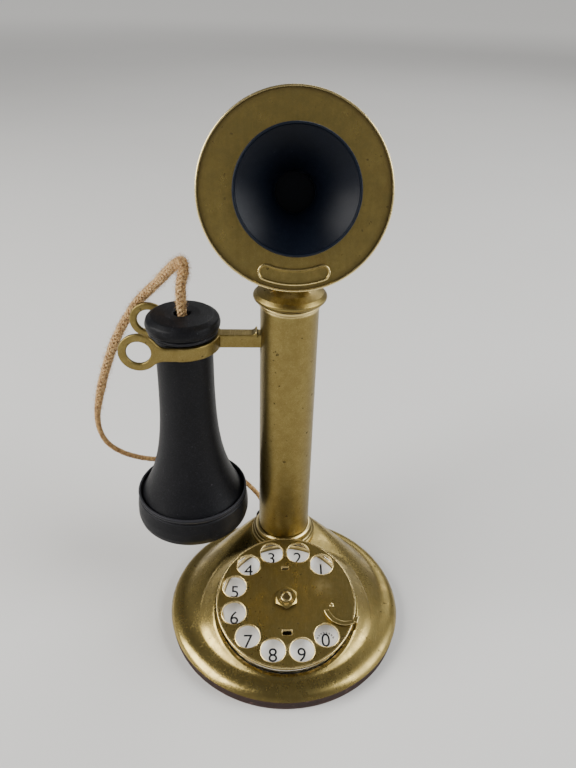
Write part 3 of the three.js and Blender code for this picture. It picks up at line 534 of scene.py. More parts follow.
# A closed profile of (radius, height[, rounding]) in millimetres, turned round Z.
def turned(name, profile, segments, place=None, steps=4):
    points, rings = [], []
    for radius, height in rounded(profile, steps):
        if radius < 1e-4:
            rings.append([len(points)])
            points.append((0, 0, height * mm))
            continue
        rings.append(list(range(len(points), len(points) + segments)))
        for i in range(segments):
            angle = 2 * math.pi * i / segments
            points.append((radius * mm * math.cos(angle), radius * mm * math.sin(angle), height * mm))
    faces = []
    for low, high in zip(rings, rings[1:] + rings[:1]):
        if len(low) == 1 and len(high) == 1:
            continue
        for i in range(segments):
            j = (i + 1) % segments
            ring = [low[i % len(low)], low[j % len(low)], high[j % len(high)], high[i % len(high)]]
            face = list(dict.fromkeys(ring))
            if len(face) > 2:
                faces.append(face)
    return placed(faceOutwards(meshObject(name, points, faces)), place)


def rod(name, radius, low, high, segments, place=None):
    return turned(name, [(0, low), (radius, low), (radius, high), (0, high)], segments, place)


# Outlines in millimetres, the first one outside and the rest holes, made a slab with rounded edges.
def slab(name, outlines, low, high, bevel, place=None):
    data = bpy.data.curves.new(name, "CURVE")
    data.dimensions = "2D"
    data.fill_mode = "BOTH"
    data.extrude = ((high - low) / 2 - bevel) * mm
    data.bevel_depth = bevel * mm
    data.bevel_resolution = 2
    data.offset = -bevel * mm
    for outline in outlines:
        spline = data.splines.new("POLY")
        spline.points.add(len(outline) - 1)
        for point, (x, y) in zip(spline.points, outline):
            point.co = (x * mm, y * mm, 0, 1)
        spline.use_cyclic_u = True
    thing = bpy.data.objects.new(name, data)
    bpy.context.collection.objects.link(thing)
    thing = faceOutwards(keepResult(thing), 1e-6)
    return placed(moveMesh(thing, shift(0, 0, (low + high) / 2)), place)


def circle(cx, cy, radius, steps=48, start=0.0, turn=2 * math.pi):
    full = abs(turn - 2 * math.pi) < 1e-9
    last = steps if full else steps + 1
    return [
        (cx + radius * math.cos(start + turn * i / steps), cy + radius * math.sin(start + turn * i / steps))
        for i in range(last)
    ]


def brick(name, low, high, place=None):
    xs, ys, zs = zip(low, high)
    points = [(x * mm, y * mm, z * mm) for x in xs for y in ys for z in zs]
    faces = [(0, 1, 3, 2), (4, 6, 7, 5), (0, 4, 5, 1), (2, 3, 7, 6), (0, 2, 6, 4), (1, 5, 7, 3)]
    return placed(faceOutwards(meshObject(name, points, faces)), place)


def soften(thing, width, segments=3, angle=30):
    bevel = thing.modifiers.new("soften", "BEVEL")
    bevel.width = width * mm
    bevel.segments = segments
    bevel.limit_method = "ANGLE"
    bevel.angle_limit = math.radians(angle)
    bevel.use_clamp_overlap = True
    return keepResult(thing)


# Adds or cuts other pieces, which are used up.
def combine(thing, others, operation="DIFFERENCE"):
    for other in others:
        step = thing.modifiers.new("combine", "BOOLEAN")
        step.operation = operation
        step.solver = "EXACT"
        step.object = other
    keepResult(thing)
    for other in others:
        bpy.data.objects.remove(other)
    return thing


def asOne(thing, others):
    work = bmesh.new()
    work.from_mesh(thing.data)
    for other in others:
        work.from_mesh(other.data)
        bpy.data.objects.remove(other)
    work.to_mesh(thing.data)
    work.free()
    return thing


# Melts joined solids into one soft-edged casting.
def melted(thing, voxel, rounds):
    step = thing.modifiers.new("melt", "REMESH")
    step.mode = "VOXEL"
    step.voxel_size = voxel * mm
    smooth = thing.modifiers.new("ease", "SMOOTH")
    smooth.factor = 0.5
    smooth.iterations = rounds
    return keepResult(thing)


wearSet = {
    "longest": 1.9,  # no edge is longer, so that the marks stay near the edges they belong to
    "rounds": 8,
    "low": 250.0,  # bend per metre where a mark begins and where it is full
    "high": 1800.0,
    "blur": 2,
}


def refine(thing, look):
    def action(work):
        for _ in range(look["rounds"]):
            far = [edge for edge in work.edges if edge.calc_length() > look["longest"] * mm]
            if not far:
                break
            bmesh.ops.subdivide_edges(work, edges=far, cuts=1, use_grid_fill=True)
            bmesh.ops.triangulate(work, faces=[face for face in work.faces if len(face.verts) > 4])
    return editMesh(thing, action)


def readVectors(items, kind):
    values = np.empty(len(items) * 3)
    items.foreach_get(kind, values)
    return values.reshape(-1, 3)


# Marks where a surface is worn bright (convex edges) and where grime sits (inner corners).
def markEdges(thing, look):
    mesh = thing.data
    points = readVectors(mesh.vertices, "co")
    normals = readVectors(mesh.vertices, "normal")
    edges = np.empty(len(mesh.edges) * 2, dtype=np.int64)
    mesh.edges.foreach_get("vertices", edges)
    a, b = edges.reshape(-1, 2).T
    step = points[b] - points[a]
    square = (step * step).sum(1)
    bend = ((normals[b] - normals[a]) * step).sum(1) / np.maximum(square, 1e-12)
    reach = np.maximum(np.sqrt(square), 1e-7)
    top, weight, degree = np.zeros((3, len(points)))
    for end in (a, b):
        np.add.at(top, end, bend / reach)
        np.add.at(weight, end, 1 / reach)
        np.add.at(degree, end, 1.0)
    curve = top / np.maximum(weight, 1e-9)
    for _ in range(look["blur"]):
        total = curve.copy()
        np.add.at(total, a, curve[b])
        np.add.at(total, b, curve[a])
        curve = total / (degree + 1)
    for name, sign in (("wear", 1.0), ("hollow", -1.0)):
        share = np.clip((sign * curve - look["low"]) / (look["high"] - look["low"]), 0, 1)
        layer = mesh.attributes.new(name, "FLOAT", "POINT")
        layer.data.foreach_set("value", share.astype(np.float32))


finished = []


# The last steps of every piece: smooth faces, edge marks, finish, body and what it stands for.
def setPiece(thing, finish, body, nodes=(), sharp=32, marks=True):
    if marks:
        refine(thing, wearSet)
        markEdges(thing, wearSet)
    mesh = thing.data
    mesh.polygons.foreach_set("use_smooth", np.ones(len(mesh.polygons), dtype=bool))
    mesh.set_sharp_from_angle(angle=math.radians(sharp))
    mesh.materials.clear()
    mesh.materials.append(finishes[finish])
    if body:
        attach(thing, body)
    if nodes:
        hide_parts(*nodes)
    finished.append(thing)


def geometryTree(name, numbers):
    tree = bpy.data.node_groups.new(name, "GeometryNodeTree")
    tree.interface.new_socket("Geometry", in_out="INPUT", socket_type="NodeSocketGeometry")
    for label, value in numbers.items():
        kind = "NodeSocketInt" if isinstance(value, int) else "NodeSocketFloat"
        tree.interface.new_socket(label, in_out="INPUT", socket_type=kind)
    tree.interface.new_socket("Geometry", in_out="OUTPUT", socket_type="NodeSocketGeometry")
    graph = Graph(tree)
    start = graph.add("NodeGroupInput")
    given = {socket.name: Wire(graph, socket) for socket in start.outputs if socket.name}
    return tree, graph, given


def endTree(graph, geometry, finish):
    whole = graph.out(graph.add("GeometryNodeRealizeInstances", None, {0: geometry}))
    node = graph.add("GeometryNodeSetMaterial", None, {"Geometry": whole, "Material": finishes[finish]})
    graph.add("NodeGroupOutput", None, {0: graph.out(node)})


def runTree(thing, tree, numbers):
    modifier = thing.modifiers.new(tree.name, "NODES")
    modifier.node_group = tree
    for item in tree.interface.items_tree:
        if item.item_type == "SOCKET" and item.in_out == "INPUT" and item.name in numbers:
            modifier[item.identifier] = numbers[item.name]
    return keepResult(thing)


def vectorMaths(g, operation, first, second):
    name = "Scale" if operation == "SCALE" else 1
    return g.out(g.add("ShaderNodeVectorMath", {"operation": operation}, {0: first, name: second}))


def pointMark(g, name):
    node = g.add("GeometryNodeInputNamedAttribute", {"data_type": "FLOAT"}, {"Name": name})
    return g.out(node, "Attribute")


cordSet = {
    "exit": (-11.0, 60.3, 19.3),
    "route": [
        (-11.0, 60.4, 19.3), (-11.6, 65.0, 19.8), (-14.0, 70.0, 24.0), (-21.5, 73.2, 32.0), (-32.0, 75.3, 41.0),
        (-44.0, 76.0, 48.5), (-57.0, 75.0, 53.0), (-69.0, 72.0, 55.5), (-80.0, 68.3, 57.6), (-90.0, 65.0, 62.0),
        (-99.0, 62.0, 68.5), (-105.5, 59.5, 77.0), (-108.4, 57.5, 88.0), (-108.2, 56.3, 99.0),
        (-105.6, 56.0, 111.5), (-101.5, 56.2, 125.5), (-97.2, 57.0, 137.5), (-91.5, 58.4, 150.5),
        (-84.4, 59.2, 162.5), (-78.2, 58.6, 171.0), (-72.4, 56.4, 177.6), (-66.5, 52.0, 184.5),
        (-60.6, 46.0, 192.5), (-55.0, 40.0, 199.3), (-52.2, 36.6, 201.6), (-51.4, 35.7, 198.5),
        (-53.2, 35.6, 190.0), (-53.6, 35.6, 182.0), (-53.4, 35.6, 173.5),
    ],
    "spacing": 0.62,
    "thinRadius": 1.5,
    "thickRadius": 2.45,
    "thickFrom": 0.44,  # share of the length where the loose stretch begins
    "thickTo": 0.58,
    "yarnRoom": 0.42,
    "lumps": ((0.09, 61, 0), (0.07, 137, 1)),  # height, waves and start of each unevenness
    "braidSlope": 0.95,
    "frayed": 0.35,
    "apex": 0.915,  # share of the length where the loop turns over and is most worn
    "apexWidth": 0.02,
    "frayEnd": 0.985,
    "diameter": 0.004,
}
braidSet = {"Strands": 5, "Lift": 0.2 * mm, "Yarn": 0.52 * mm}
fibreSet = {"Density": 2.6e6, "Length": 2.8 * mm, "Thickness": 0.035 * mm, "Seed": 7}


def runLengths(line):
    return np.concatenate(([0.0], np.cumsum(np.linalg.norm(np.diff(line, axis=0), axis=1))))


def evenly(points, count):
    line = np.array([tuple(p) for p in points])
    run = runLengths(line)
    wanted = np.linspace(0, run[-1], count)
    return np.stack([np.interp(wanted, run, line[:, i]) for i in range(3)], axis=1)


# A smooth line through points, evenly stepped.
def smoothRoute(points, spacing, steps=24):
    given = [Vector(p) for p in points]
    ends = [given[0] * 2 - given[1]] + given + [given[-1] * 2 - given[-2]]
    fine = []
    for i in range(1, len(ends) - 2):
        p0, p1, p2, p3 = ends[i - 1:i + 3]
        knots = [0.0]
        for a, b in ((p0, p1), (p1, p2), (p2, p3)):
            knots.append(knots[-1] + max((b - a).length, 1e-6) ** 0.5)
        for k in range(steps):
            t = knots[1] + (knots[2] - knots[1]) * k / steps
            a1 = p0.lerp(p1, (t - knots[0]) / (knots[1] - knots[0]))
            a2 = p1.lerp(p2, (t - knots[1]) / (knots[2] - knots[1]))
            a3 = p2.lerp(p3, (t - knots[2]) / (knots[3] - knots[2]))
            b1 = a1.lerp(a2, (t - knots[0]) / (knots[2] - knots[0]))
            b2 = a2.lerp(a3, (t - knots[1]) / (knots[3] - knots[1]))
            fine.append(b1.lerp(b2, (t - knots[1]) / (knots[2] - knots[1])))
    fine.append(given[-1])
    length = runLengths(np.array([tuple(p) for p in fine]))[-1]
    return evenly(fine, int(round(length / spacing)) + 1), length


def easeBetween(value, low, high):
    t = np.clip((value - low) / (high - low), 0, 1)
    return t * t * (3 - 2 * t)


def sectionCircle(g, resolution, radius=1.0):
    sockets = {"Resolution": resolution, "Radius": radius}
    return g.out(g.add("GeometryNodeCurvePrimitiveCircle", None, sockets))


def sweep(g, line, section, radius):
    sized = g.out(g.add("GeometryNodeSetCurveRadius", None, {"Curve": line, "Radius": radius}))
    sockets = {"Curve": sized, "Profile Curve": section, "Fill Caps": True}
    node = g.add("GeometryNodeCurveToMesh", None, sockets)
    if "Scale" in node.inputs:
        g.tree.links.new(radius.socket, node.inputs["Scale"])
    return g.out(node)


# Strands wound both ways round a core, each going over and under the others.
def braidTree(numbers):
    tree, g, given = geometryTree("braided_sleeve", numbers)
    line = g.out(g.add("GeometryNodeMeshToCurve", None, {0: given["Geometry"]}))
    sockets = {"Geometry": line, "Amount": given["Strands"] * 2}
    copies = g.add("GeometryNodeDuplicateElements", {"domain": "SPLINE"}, sockets)
    index = g.out(copies, "Duplicate Index")
    side = 1 - 2 * g.maths("MODULO", index, 2)
    order = g.maths("FLOOR", index / 2)
    twist = pointMark(g, "twist")
    angle = side * twist + order * (2 * math.pi) / given["Strands"]
    weave = g.maths("COSINE", twist * given["Strands"])
    radius = pointMark(g, "sleeve") + side * weave * given["Lift"]
    normal = g.out(g.add("GeometryNodeInputNormal"))
    tangent = g.out(g.add("GeometryNodeInputTangent"))
    across = vectorMaths(g, "CROSS_PRODUCT", tangent, normal)
    first = vectorMaths(g, "SCALE", normal, g.maths("COSINE", angle) * radius)
    second = vectorMaths(g, "SCALE", across, g.maths("SINE", angle) * radius)
    sockets = {"Geometry": g.out(copies), "Offset": vectorMaths(g, "ADD", first, second)}
    wound = g.out(g.add("GeometryNodeSetPosition", None, sockets))
    strands = sweep(g, wound, sectionCircle(g, 5), given["Yarn"] * pointMark(g, "plump"))
    core = sweep(g, line, sectionCircle(g, 12), pointMark(g, "sleeve") * 0.93)
    both = g.add("GeometryNodeJoinGeometry")
    for piece in (strands, core):
        g.tree.links.new(piece.socket, both.inputs[0])
    endTree(g, g.out(both), "braid")
    return tree


# Loose fibres that stand off the worn stretch.
def fibreTree(numbers):
    tree, g, given = geometryTree("loose_fibres", numbers)
    density = given["Density"] * pointMark(g, "fray")
    sockets = {"Mesh": given["Geometry"], "Density": density, "Seed": given["Seed"]}
    scattered = g.add("GeometryNodeDistributePointsOnFaces", {"distribute_method": "RANDOM"}, sockets)
    line = g.add("GeometryNodeCurvePrimitiveBezierSegment", {"mode": "POSITION"}, {
        "Resolution": 4, "Start": (0, 0, 0), "Start Handle": (0.25, 0, 0.25), "End Handle": (0.75, 0.1, 0.35),
        "End": (1.0, 0.0, 0.15),
    })
    hair = sweep(g, g.out(line), sectionCircle(g, 3), given["Thickness"] / given["Length"])
    spin = g.add("FunctionNodeRandomValue", {"data_type": "FLOAT_VECTOR"}, {
        "Min": (-0.5, -0.9, -3.14), "Max": (0.5, 0.5, 3.14), "Seed": 3})
    size = g.add("FunctionNodeRandomValue", {"data_type": "FLOAT"}, {2: 0.35, 3: 1.0, "Seed": 5})
    placed = g.add("GeometryNodeInstanceOnPoints", None, {
        "Points": g.out(scattered), "Instance": hair, "Rotation": g.out(scattered, "Rotation"),
        "Scale": g.out(size, 1) * given["Length"],
    })
    sockets = {"Instances": g.out(placed), "Rotation": g.out(spin)}
    turnedHair = g.add("GeometryNodeRotateInstances", None, sockets)
    endTree(g, g.out(turnedHair), "braid")
    return tree


# The numbers that each point of the cord's line carries into the trees above.
def cordMarks(share, length, look):
    thick = easeBetween(share, look["thickFrom"], look["thickTo"])
    lumps = sum(height * np.sin(share * waves + start) for height, waves, start in look["lumps"])
    growth = look["thickRadius"] - look["thinRadius"] + lumps
    sleeve = look["thinRadius"] + growth * thick - look["yarnRoom"] - 0.1 * thick
    twist = np.cumsum(look["braidSlope"] / sleeve) * length / (len(share) - 1)
    apex = np.exp(-((share - look["apex"]) / look["apexWidth"]) ** 2)
    fray = np.clip(thick * look["frayed"] + apex, 0, 1) * (share < look["frayEnd"])
    return {"sleeve": sleeve * mm, "twist": twist, "plump": 0.92 + 0.3 * thick, "along": share, "fray": fray}


def makeCord(look):
    line, length = smoothRoute(look["route"], look["spacing"])
    count = len(line)
    rope = meshObject("receiver_cord", line * mm, [])
    rope.data.edges.add(count - 1)
    ends = np.stack([np.arange(count - 1), np.arange(1, count)], 1)
    rope.data.edges.foreach_set("vertices", ends.ravel())
    for name, values in cordMarks(np.linspace(0, 1, count), length, look).items():
        layer = rope.data.attributes.new(name, "FLOAT", "POINT")
        layer.data.foreach_set("value", values.astype(np.float32))
    runTree(rope, braidTree(braidSet), braidSet)
    fibres = bpy.data.objects.new("cord_fibres", rope.data.copy())
    bpy.context.collection.objects.link(fibres)
    runTree(fibres, fibreTree(fibreSet), fibreSet)
    for piece in (rope, fibres):
        setPiece(piece, "braid", None, sharp=80, marks=False)
        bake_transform(piece)
    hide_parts("receiver_cord_low", "receiver_cord_middle", "receiver_cord_high")
    print("cord", round(length, 1), "mm")


makeCord(cordSet)

baseSet = {
    "radius": 65.2, "wall": 2.0, "foot": 6.5, "lip": 1.4, "lipShare": 0.6, "shoulderWidth": 7.7,
    "shoulderRise": 2.8, "hillRise": 17.9, "bulge": 1.25, "seat": 19.4, "seatRings": (17.8, 16.4, 15.3),
    "stemHole": 15.0, "holeRound": 0.3, "wellRadius": 37.8, "wellSegments": 160,
    "bossWall": 2.0, "bossTop": -7.8, "bossFall": 0.9, "bossBlend": 1.6, "bossReach": 8,
    "segments": 300, "outerSteps": (14, 60), "outerRings": 150, "innerSteps": (5, 14), "innerRings": 20,
    "easing": 70, "cordHole": 4.3, "cordX": 11.0, "cordY": 55.0, "cordZ": 19.3,
}
lipTop = baseSet["foot"] + baseSet["lip"]
shoulderTop = lipTop + baseSet["shoulderRise"]
shoulderRadius = baseSet["radius"] - baseSet["shoulderWidth"]
seatTop = shoulderTop + baseSet["hillRise"]


def shellColumn(angle, look, inset, shoulderSteps, hillSteps):
    out = Vector((math.sin(angle), -math.cos(angle)))
    side = look["radius"] - inset
    middle = lipTop * look["lipShare"] + look["foot"] * (1 - look["lipShare"])
    column = [(side, 0.0, look["foot"]), (side, 0.0, middle)]
    for k in range(shoulderSteps + 1):
        turn = math.pi / 2 * k / shoulderSteps
        radius = shoulderRadius + look["shoulderWidth"] * math.cos(turn) - inset
        column.append((radius, 0.0, lipTop + (look["shoulderRise"] - inset) * math.sin(turn)))
    for k in range(1, hillSteps + 1):
        share = k / hillSteps
        rise = 1 - (1 - share) ** look["bulge"]
        radius = shoulderRadius + (look["seat"] - shoulderRadius) * share - inset
        column.append((radius, stemY * share, shoulderTop + look["hillRise"] * rise - inset))
    return [Vector((out.x * radius, y + out.y * radius, z)) for radius, y, z in column]


# Lifts the skin to a flat boss round the dial, and lets it fall away smoothly outside.
def liftBoss(points, look):
    inverse = np.array(dialPlace.inverted())
    forward = np.array(dialPlace)
    local = points.reshape(-1, 3) * mm @ inverse[:3, :3].T + inverse[:3, 3]
    radius = np.hypot(local[:, 0], local[:, 1]) / mm
    height = local[:, 2] / mm
    edge = look["wellRadius"] + look["bossWall"]
    wanted = look["bossTop"] - look["bossFall"] * np.maximum(radius - edge, 0)
    blend = look["bossBlend"]
    share = np.clip(0.5 + 0.5 * (wanted - height) / blend, 0, 1)
    lifted = height * (1 - share) + wanted * share + blend * share * (1 - share)
    lifted = np.where(radius < edge + look["bossReach"], lifted, height)
    local[:, 2] = np.maximum(lifted, height) * mm
    return ((local @ forward[:3, :3].T + forward[:3, 3]) / mm).reshape(points.shape)


def wellCutter(radius, low=-40):
    return rod("well", radius, low, 20, baseSet["wellSegments"], dialPlace)


def backPlace(side, y):
    middle = Vector((side * baseSet["cordX"], y, baseSet["cordZ"])) * mm
    return Matrix.Translation(middle) @ Matrix.Rotation(-math.pi / 2, 4, "X")


def shellSkin(look):
    segments = look["segments"]
    angles = [2 * math.pi * i / segments for i in range(segments)]
    outer = np.array([evenly(shellColumn(a, look, 0, *look["outerSteps"]), look["outerRings"]) for a in angles])
    for _ in range(look["easing"]):
        outer[:, 1:-1] = outer[:, 1:-1] * 0.5 + (outer[:, :-2] + outer[:, 2:]) * 0.25
    outer = liftBoss(outer, look)
    columns = [shellColumn(a, look, look["wall"], *look["innerSteps"]) for a in angles]
    inner = np.array([evenly(column, look["innerRings"]) for column in columns])
    around = np.array([(math.sin(a), -math.cos(a)) for a in angles])

    def ring(radius, z):
        spots = [around[:, 0] * radius, around[:, 1] * radius + stemY, np.full(segments, z)]
        return np.stack(spots, 1)[:, None]

    seat = [ring(radius, seatTop) for radius in look["seatRings"]]
    hole = [ring(look["stemHole"], seatTop - drop) for drop in (look["holeRound"], look["wall"])]
    return np.concatenate([outer, *seat, *hole, inner[:, ::-1]], axis=1)


def makeBaseShell(look):
    loops = shellSkin(look)
    segments, rings = loops.shape[:2]
    faces = []
    for k in range(rings):
        n = (k + 1) % rings
        for i in range(segments):
            j = (i + 1) % segments
            faces.append((i * rings + k, j * rings + k, j * rings + n, i * rings + n))
    shell = faceOutwards(meshObject("base_skin", loops.reshape(-1, 3) * mm, faces))
    holes = [rod("hole", look["cordHole"], -10, 10, 40, backPlace(side, look["cordY"])) for side in (-1, 1)]
    combine(shell, [wellCutter(look["wellRadius"]), *holes])
    setPiece(shell, "brass_base", "base", ["base_shell"])


padSet = {
    "segments": 180,
    "profile": [
        (0, 0), (64.4, 0, 0.5), (64.75, 2.2), (64.55, 3.4), (64.75, 4.6), (64.6, 6.2, 0.5), (59.7, 6.2, 0.3),
        (59.7, 2.4), (0, 2.4),
    ],
}


def makeBasePad(look):
    pad = turned("pad_board", look["profile"], look["segments"])
    setPiece(pad, "leather_board", "base", ["base_pad"])


bushingSet = {
    "y": 55.054, "segments": 48,
    "holders": (("cord_grommet", -1, 2.3, "cord_bushing"), ("line_grommet", 1, 3.1, "line_inlet_bushing")),
    "outside": [(4, -3.8, 0.2), (4, 2), (5.6, 2, 0.2), (5.6, 3.6, 0.5), (4.6, 4.8, 0.6)],
    "inEnd": (-3.8, 0.2), "outEnd": (4.8, 0.5),
}


def makeBushings(look):
    for name, side, bore, node in look["holders"]:
        profile = [(bore, *look["inEnd"]), *look["outside"], (bore, *look["outEnd"])]
        grommet = turned(name, profile, look["segments"], backPlace(side, look["y"]))
        setPiece(grommet, "rubber_receiver", "base", [node])


stemSet = {
    "radius": 14.7, "wall": 1.6, "below": 8, "above": 151.5, "rim": 0.3, "segments": 128,
    "slotX": (-18, -8), "slotHalf": 4.0, "slotZ": (-6, 6.1), "pinRadius": 1.8, "pinHalf": 12.9, "pinRim": 0.4,
}


def makeStem(look):
    foot, top, rim = seatTop - look["below"], seatTop + look["above"], look["rim"]
    inner, outer = look["radius"] - look["wall"], look["radius"]
    profile = [(inner, foot), (outer, foot), (outer, top, rim), (inner, top, rim)]
    tube = turned("stem", profile, look["segments"], stemPlace)
    (nearX, farX), (low, high), half = look["slotX"], look["slotZ"], look["slotHalf"]
    combine(tube, [brick("slot", (nearX, stemY - half, hookZ + low), (farX, stemY + half, hookZ + high))])
    setPiece(tube, "brass_stem", "base", ["stem_tube"])
    end, radius, rim = look["pinHalf"], look["pinRadius"], look["pinRim"]
    profile = [(0, -end), (radius, -end, rim), (radius, end, rim), (0, end)]
    pin = turned("hook_pin", profile, 32, hookPlace @ quarterX)
    setPiece(pin, "steel", "base", ["hook_pivot_pin"])


collarSet = {
    "lift": 0.3, "segments": 128, "roomRadius": 38.9, "roomLow": -2.5,
    "profile": [
        (15, 0), (18.8, 0, 0.2), (18.8, 2.1, 0.7), (17.7, 2.6, 0.3), (17.5, 3.2, 0.3), (16.7, 3.6, 0.3),
        (16.5, 6.2, 0.5), (15.7, 7.0, 0.3), (15, 7.1, 0.1),
    ],
}


def makeFootCollar(look):
    profile = raised(look["profile"], seatTop + look["lift"])
    collar = turned("foot_rings", profile, look["segments"], stemPlace)
    room = wellCutter(look["roomRadius"], look["roomLow"])
    combine(collar, [wellCutter(baseSet["wellRadius"]), room])
    setPiece(collar, "brass_stem", "base", ["stem_foot_collar"])


capSet = {
    "lift": 151.8, "segments": 128, "steps": 6, "bore": 2.4,
    "earX": 6.5, "earWide": 3, "earHalf": 5.5, "earLow": 5.6, "earEdge": 0.5,
    "profile": [
        (0, -8), (12.8, -8, 0.5), (12.8, 0), (15.1, 0, 0.2), (15.5, 0.3, 0.2), (15.5, 1.4, 0.3),
        (15.2, 1.8, 0.2), (16.0, 2.3, 0.6), (18.3, 4.0, 1.6), (18.3, 5.4, 1.2), (16.6, 7.0, 1.6),
        (13.2, 8.6, 2.0), (8.5, 9.9, 1.5), (0, 10.3),
    ],
}


def makeStemCap(look):
    low = seatTop + look["lift"]
    plug = turned("stem_top", raised(look["profile"], low), look["segments"], None, look["steps"])
    half, wide = look["earHalf"], look["earWide"]
    ears = []
    for side in (-1, 1):
        start = side * look["earX"] - wide / 2
        root = brick("ear", (start, -half, low + look["earLow"]), (start + wide, half, pivotZ))
        place = shift(side * look["earX"], 0, pivotZ) @ quarterY
        ears.append(combine(root, [rod("round", half, -wide / 2, wide / 2, 48, place)], "UNION"))
    bore = rod("bore", look["bore"], -20, 20, 32, shift(0, 0, pivotZ) @ quarterY)
    for ear in ears:
        soften(ear, look["earEdge"])
    combine(plug, ears, "UNION")
    combine(plug, [bore])
    moveMesh(plug, stemPlace)
    setPiece(plug, "brass_stem", "base", ["stem_cap"])


tiltSet = {
    "segments": 48, "slotX": (10.0, 12), "slotHalf": 0.5, "slotReach": 5,
    "screw": [
        (0, -10.6), (2.1, -10.6, 0.4), (2.1, 8.3), (4.6, 8.3, 0.2), (4.6, 10.2, 0.6), (3.9, 10.9, 0.4),
        (0, 10.9),
    ],
    "nutRadius": 4.5, "nutHole": 2.4, "nutX": (-10.2, -8.3), "nutEdge": 0.25,
}


def makeTiltScrew(look):
    middle = shift(0, stemY, pivotZ)
    screw = turned("tilt_bolt", look["screw"], look["segments"], middle @ quarterY)
    (near, far), half, reach = look["slotX"], look["slotHalf"], look["slotReach"]
    combine(screw, [brick("slot", (near, -half, -reach), (far, half, reach), middle)])
    setPiece(screw, "brass_small", "base", ["tilt_screw"])
    outlines = [circle(0, 0, look["nutRadius"], 6), circle(0, 0, look["nutHole"], 24)]
    nut = slab("tilt_hex", outlines, *look["nutX"], look["nutEdge"], middle @ quarterY)
    setPiece(nut, "brass_small", "base", ["tilt_nut"])


hookSet = {
    "half": 3.6, "strap": 2.4, "edge": 0.3, "forkRadius": 16.4, "root": 8.2, "ringOut": 20.0, "ringLift": 1.5,
    "ringRadius": 10.05, "ringHole": 5.95, "fillet": 7.0, "tipEdge": 0.85,
    "flareX": -16.0, "flareFoot": 0.6, "flareRadius": 2.4, "flareGap": 3.2, "flareTurn": 0.42 * math.pi,
    "flareHalf": 3.5, "bore": 2.1, "depth": 3, "voxel": 0.34, "easing": 5,
}


# A tip is a flat plate that swells from the strap into its eye ring.
def tipOutline(look, tipX):
    half, rise, ring, fillet = look["half"], look["ringLift"], look["ringRadius"], look["fillet"]
    curves, touches = [], []
    for sign in (1, -1):
        centreZ = sign * (half + fillet)
        deep = centreZ - rise
        middle = tipX + math.sqrt((ring + fillet) ** 2 - deep * deep)
        towards = math.atan2(-deep, tipX - middle)
        straight = -sign * math.pi / 2
        turn = (towards - straight + math.pi) % (2 * math.pi) - math.pi
        curves.append(circle(middle, centreZ, fillet, 12, straight, turn))
        touches.append(math.atan2(deep, middle - tipX))
    around = circle(tipX, rise, ring, 40, touches[0], (touches[1] - touches[0]) % (2 * math.pi))
    start = [(receiverX + 1, -half), (receiverX + 1, half)]
    return start + curves[0] + around[1:-1] + curves[1][::-1]


def flareOutline(look):
    edge, foot, radius = look["flareX"], look["half"] - look["flareFoot"], look["flareRadius"]
    curve = circle(edge - look["flareGap"], look["half"] + radius, radius, 10, -math.pi / 2, look["flareTurn"])
    return [(edge, foot), (edge - look["flareGap"] - 0.2, foot)] + curve + [(edge, curve[-1][1])]


def forkOutline(look):
    half, inner = look["half"], look["forkRadius"]
    outer = inner + look["strap"]
    start = math.asin(half / outer)
    outside = circle(receiverX, 0, outer, 20, start, math.pi / 2 - start)
    inside = circle(receiverX, 0, inner, 24, math.pi / 2, -math.pi)
    near = [(-look["root"], half)] + outside + [(receiverX - 1, outer)]
    far = [(x, -y) for x, y in reversed(near)]
    return near + [(receiverX - 1, inner)] + inside + [(receiverX - 1, -inner)] + far


def makeHook(look):
    half, strap, depth = look["half"], look["strap"], look["depth"]
    upright = hookPlace @ quarterX
    body = slab("hook_fork", [forkOutline(look)], -half, half, look["edge"], hookPlace)
    tipX = receiverX - look["ringOut"]
    plate = [tipOutline(look, tipX), circle(tipX, look["ringLift"], look["ringHole"], 40)]
    parts = []
    for side in (-1, 1):
        place = hookPlace @ shift(0, side * (look["forkRadius"] + strap / 2), 0) @ quarterX
        parts.append(slab("tip", plate, -strap / 2, strap / 2, look["tipEdge"], place))
    parts.append(slab("flare", [flareOutline(look)], -look["flareHalf"], look["flareHalf"], 0.2, upright))
    parts.append(brick("root", (-9, -depth, -half), (-2, depth, half), hookPlace))
    parts.append(rod("hub", half, -depth, depth, 40, upright))
    parts.append(brick("tail", (1, -depth, -2), (9, depth, 0), hookPlace))
    combine(body, parts, "UNION")
    combine(body, [rod("bore", look["bore"], -10, 10, 32, upright)])
    melted(body, look["voxel"], look["easing"])
    setPiece(body, "brass_hook", "hook", ["switch_hook"], sharp=60)


wheelSet = {
    "radius": 38.1, "segments": 160, "low": -2.0, "edge": 0.28, "middleHole": 3.3,
    "holeRadius": 6.4, "holeCircle": 29.3, "firstHole": 45.0, "holeStep": 30.0, "holeSegments": 56,
    "slots": ((1.9, 17.6, 19.6), (2.5, -20.3, -17.5)),  # half width, low and high of each
    "rimHeight": -0.16,
    "bead": [
        (37.4, -1.1, 0.2), (37.95, -1.1, 0.3), (38.08, -0.3, 0.3), (37.85, 0.12, 0.15), (37.2, 0.12, 0.15),
        (37.0, -0.2, 0.1), (37.0, -1.0),
    ],
    "rivet": [(0, -0.1), (1.15, -0.1), (1.15, 0.1, 0.1), (0.7, 0.25, 0.1), (0, 0.28)],
    "rivetOut": 25, "rivetTurn": -9,
}
rimSet = {"Ring": 6.52 * mm, "Roll": 0.3 * mm}


def holeMiddle(k):
    angle = math.radians(wheelSet["firstHole"] - k * wheelSet["holeStep"])
    return wheelSet["holeCircle"] * math.sin(angle), wheelSet["holeCircle"] * math.cos(angle)


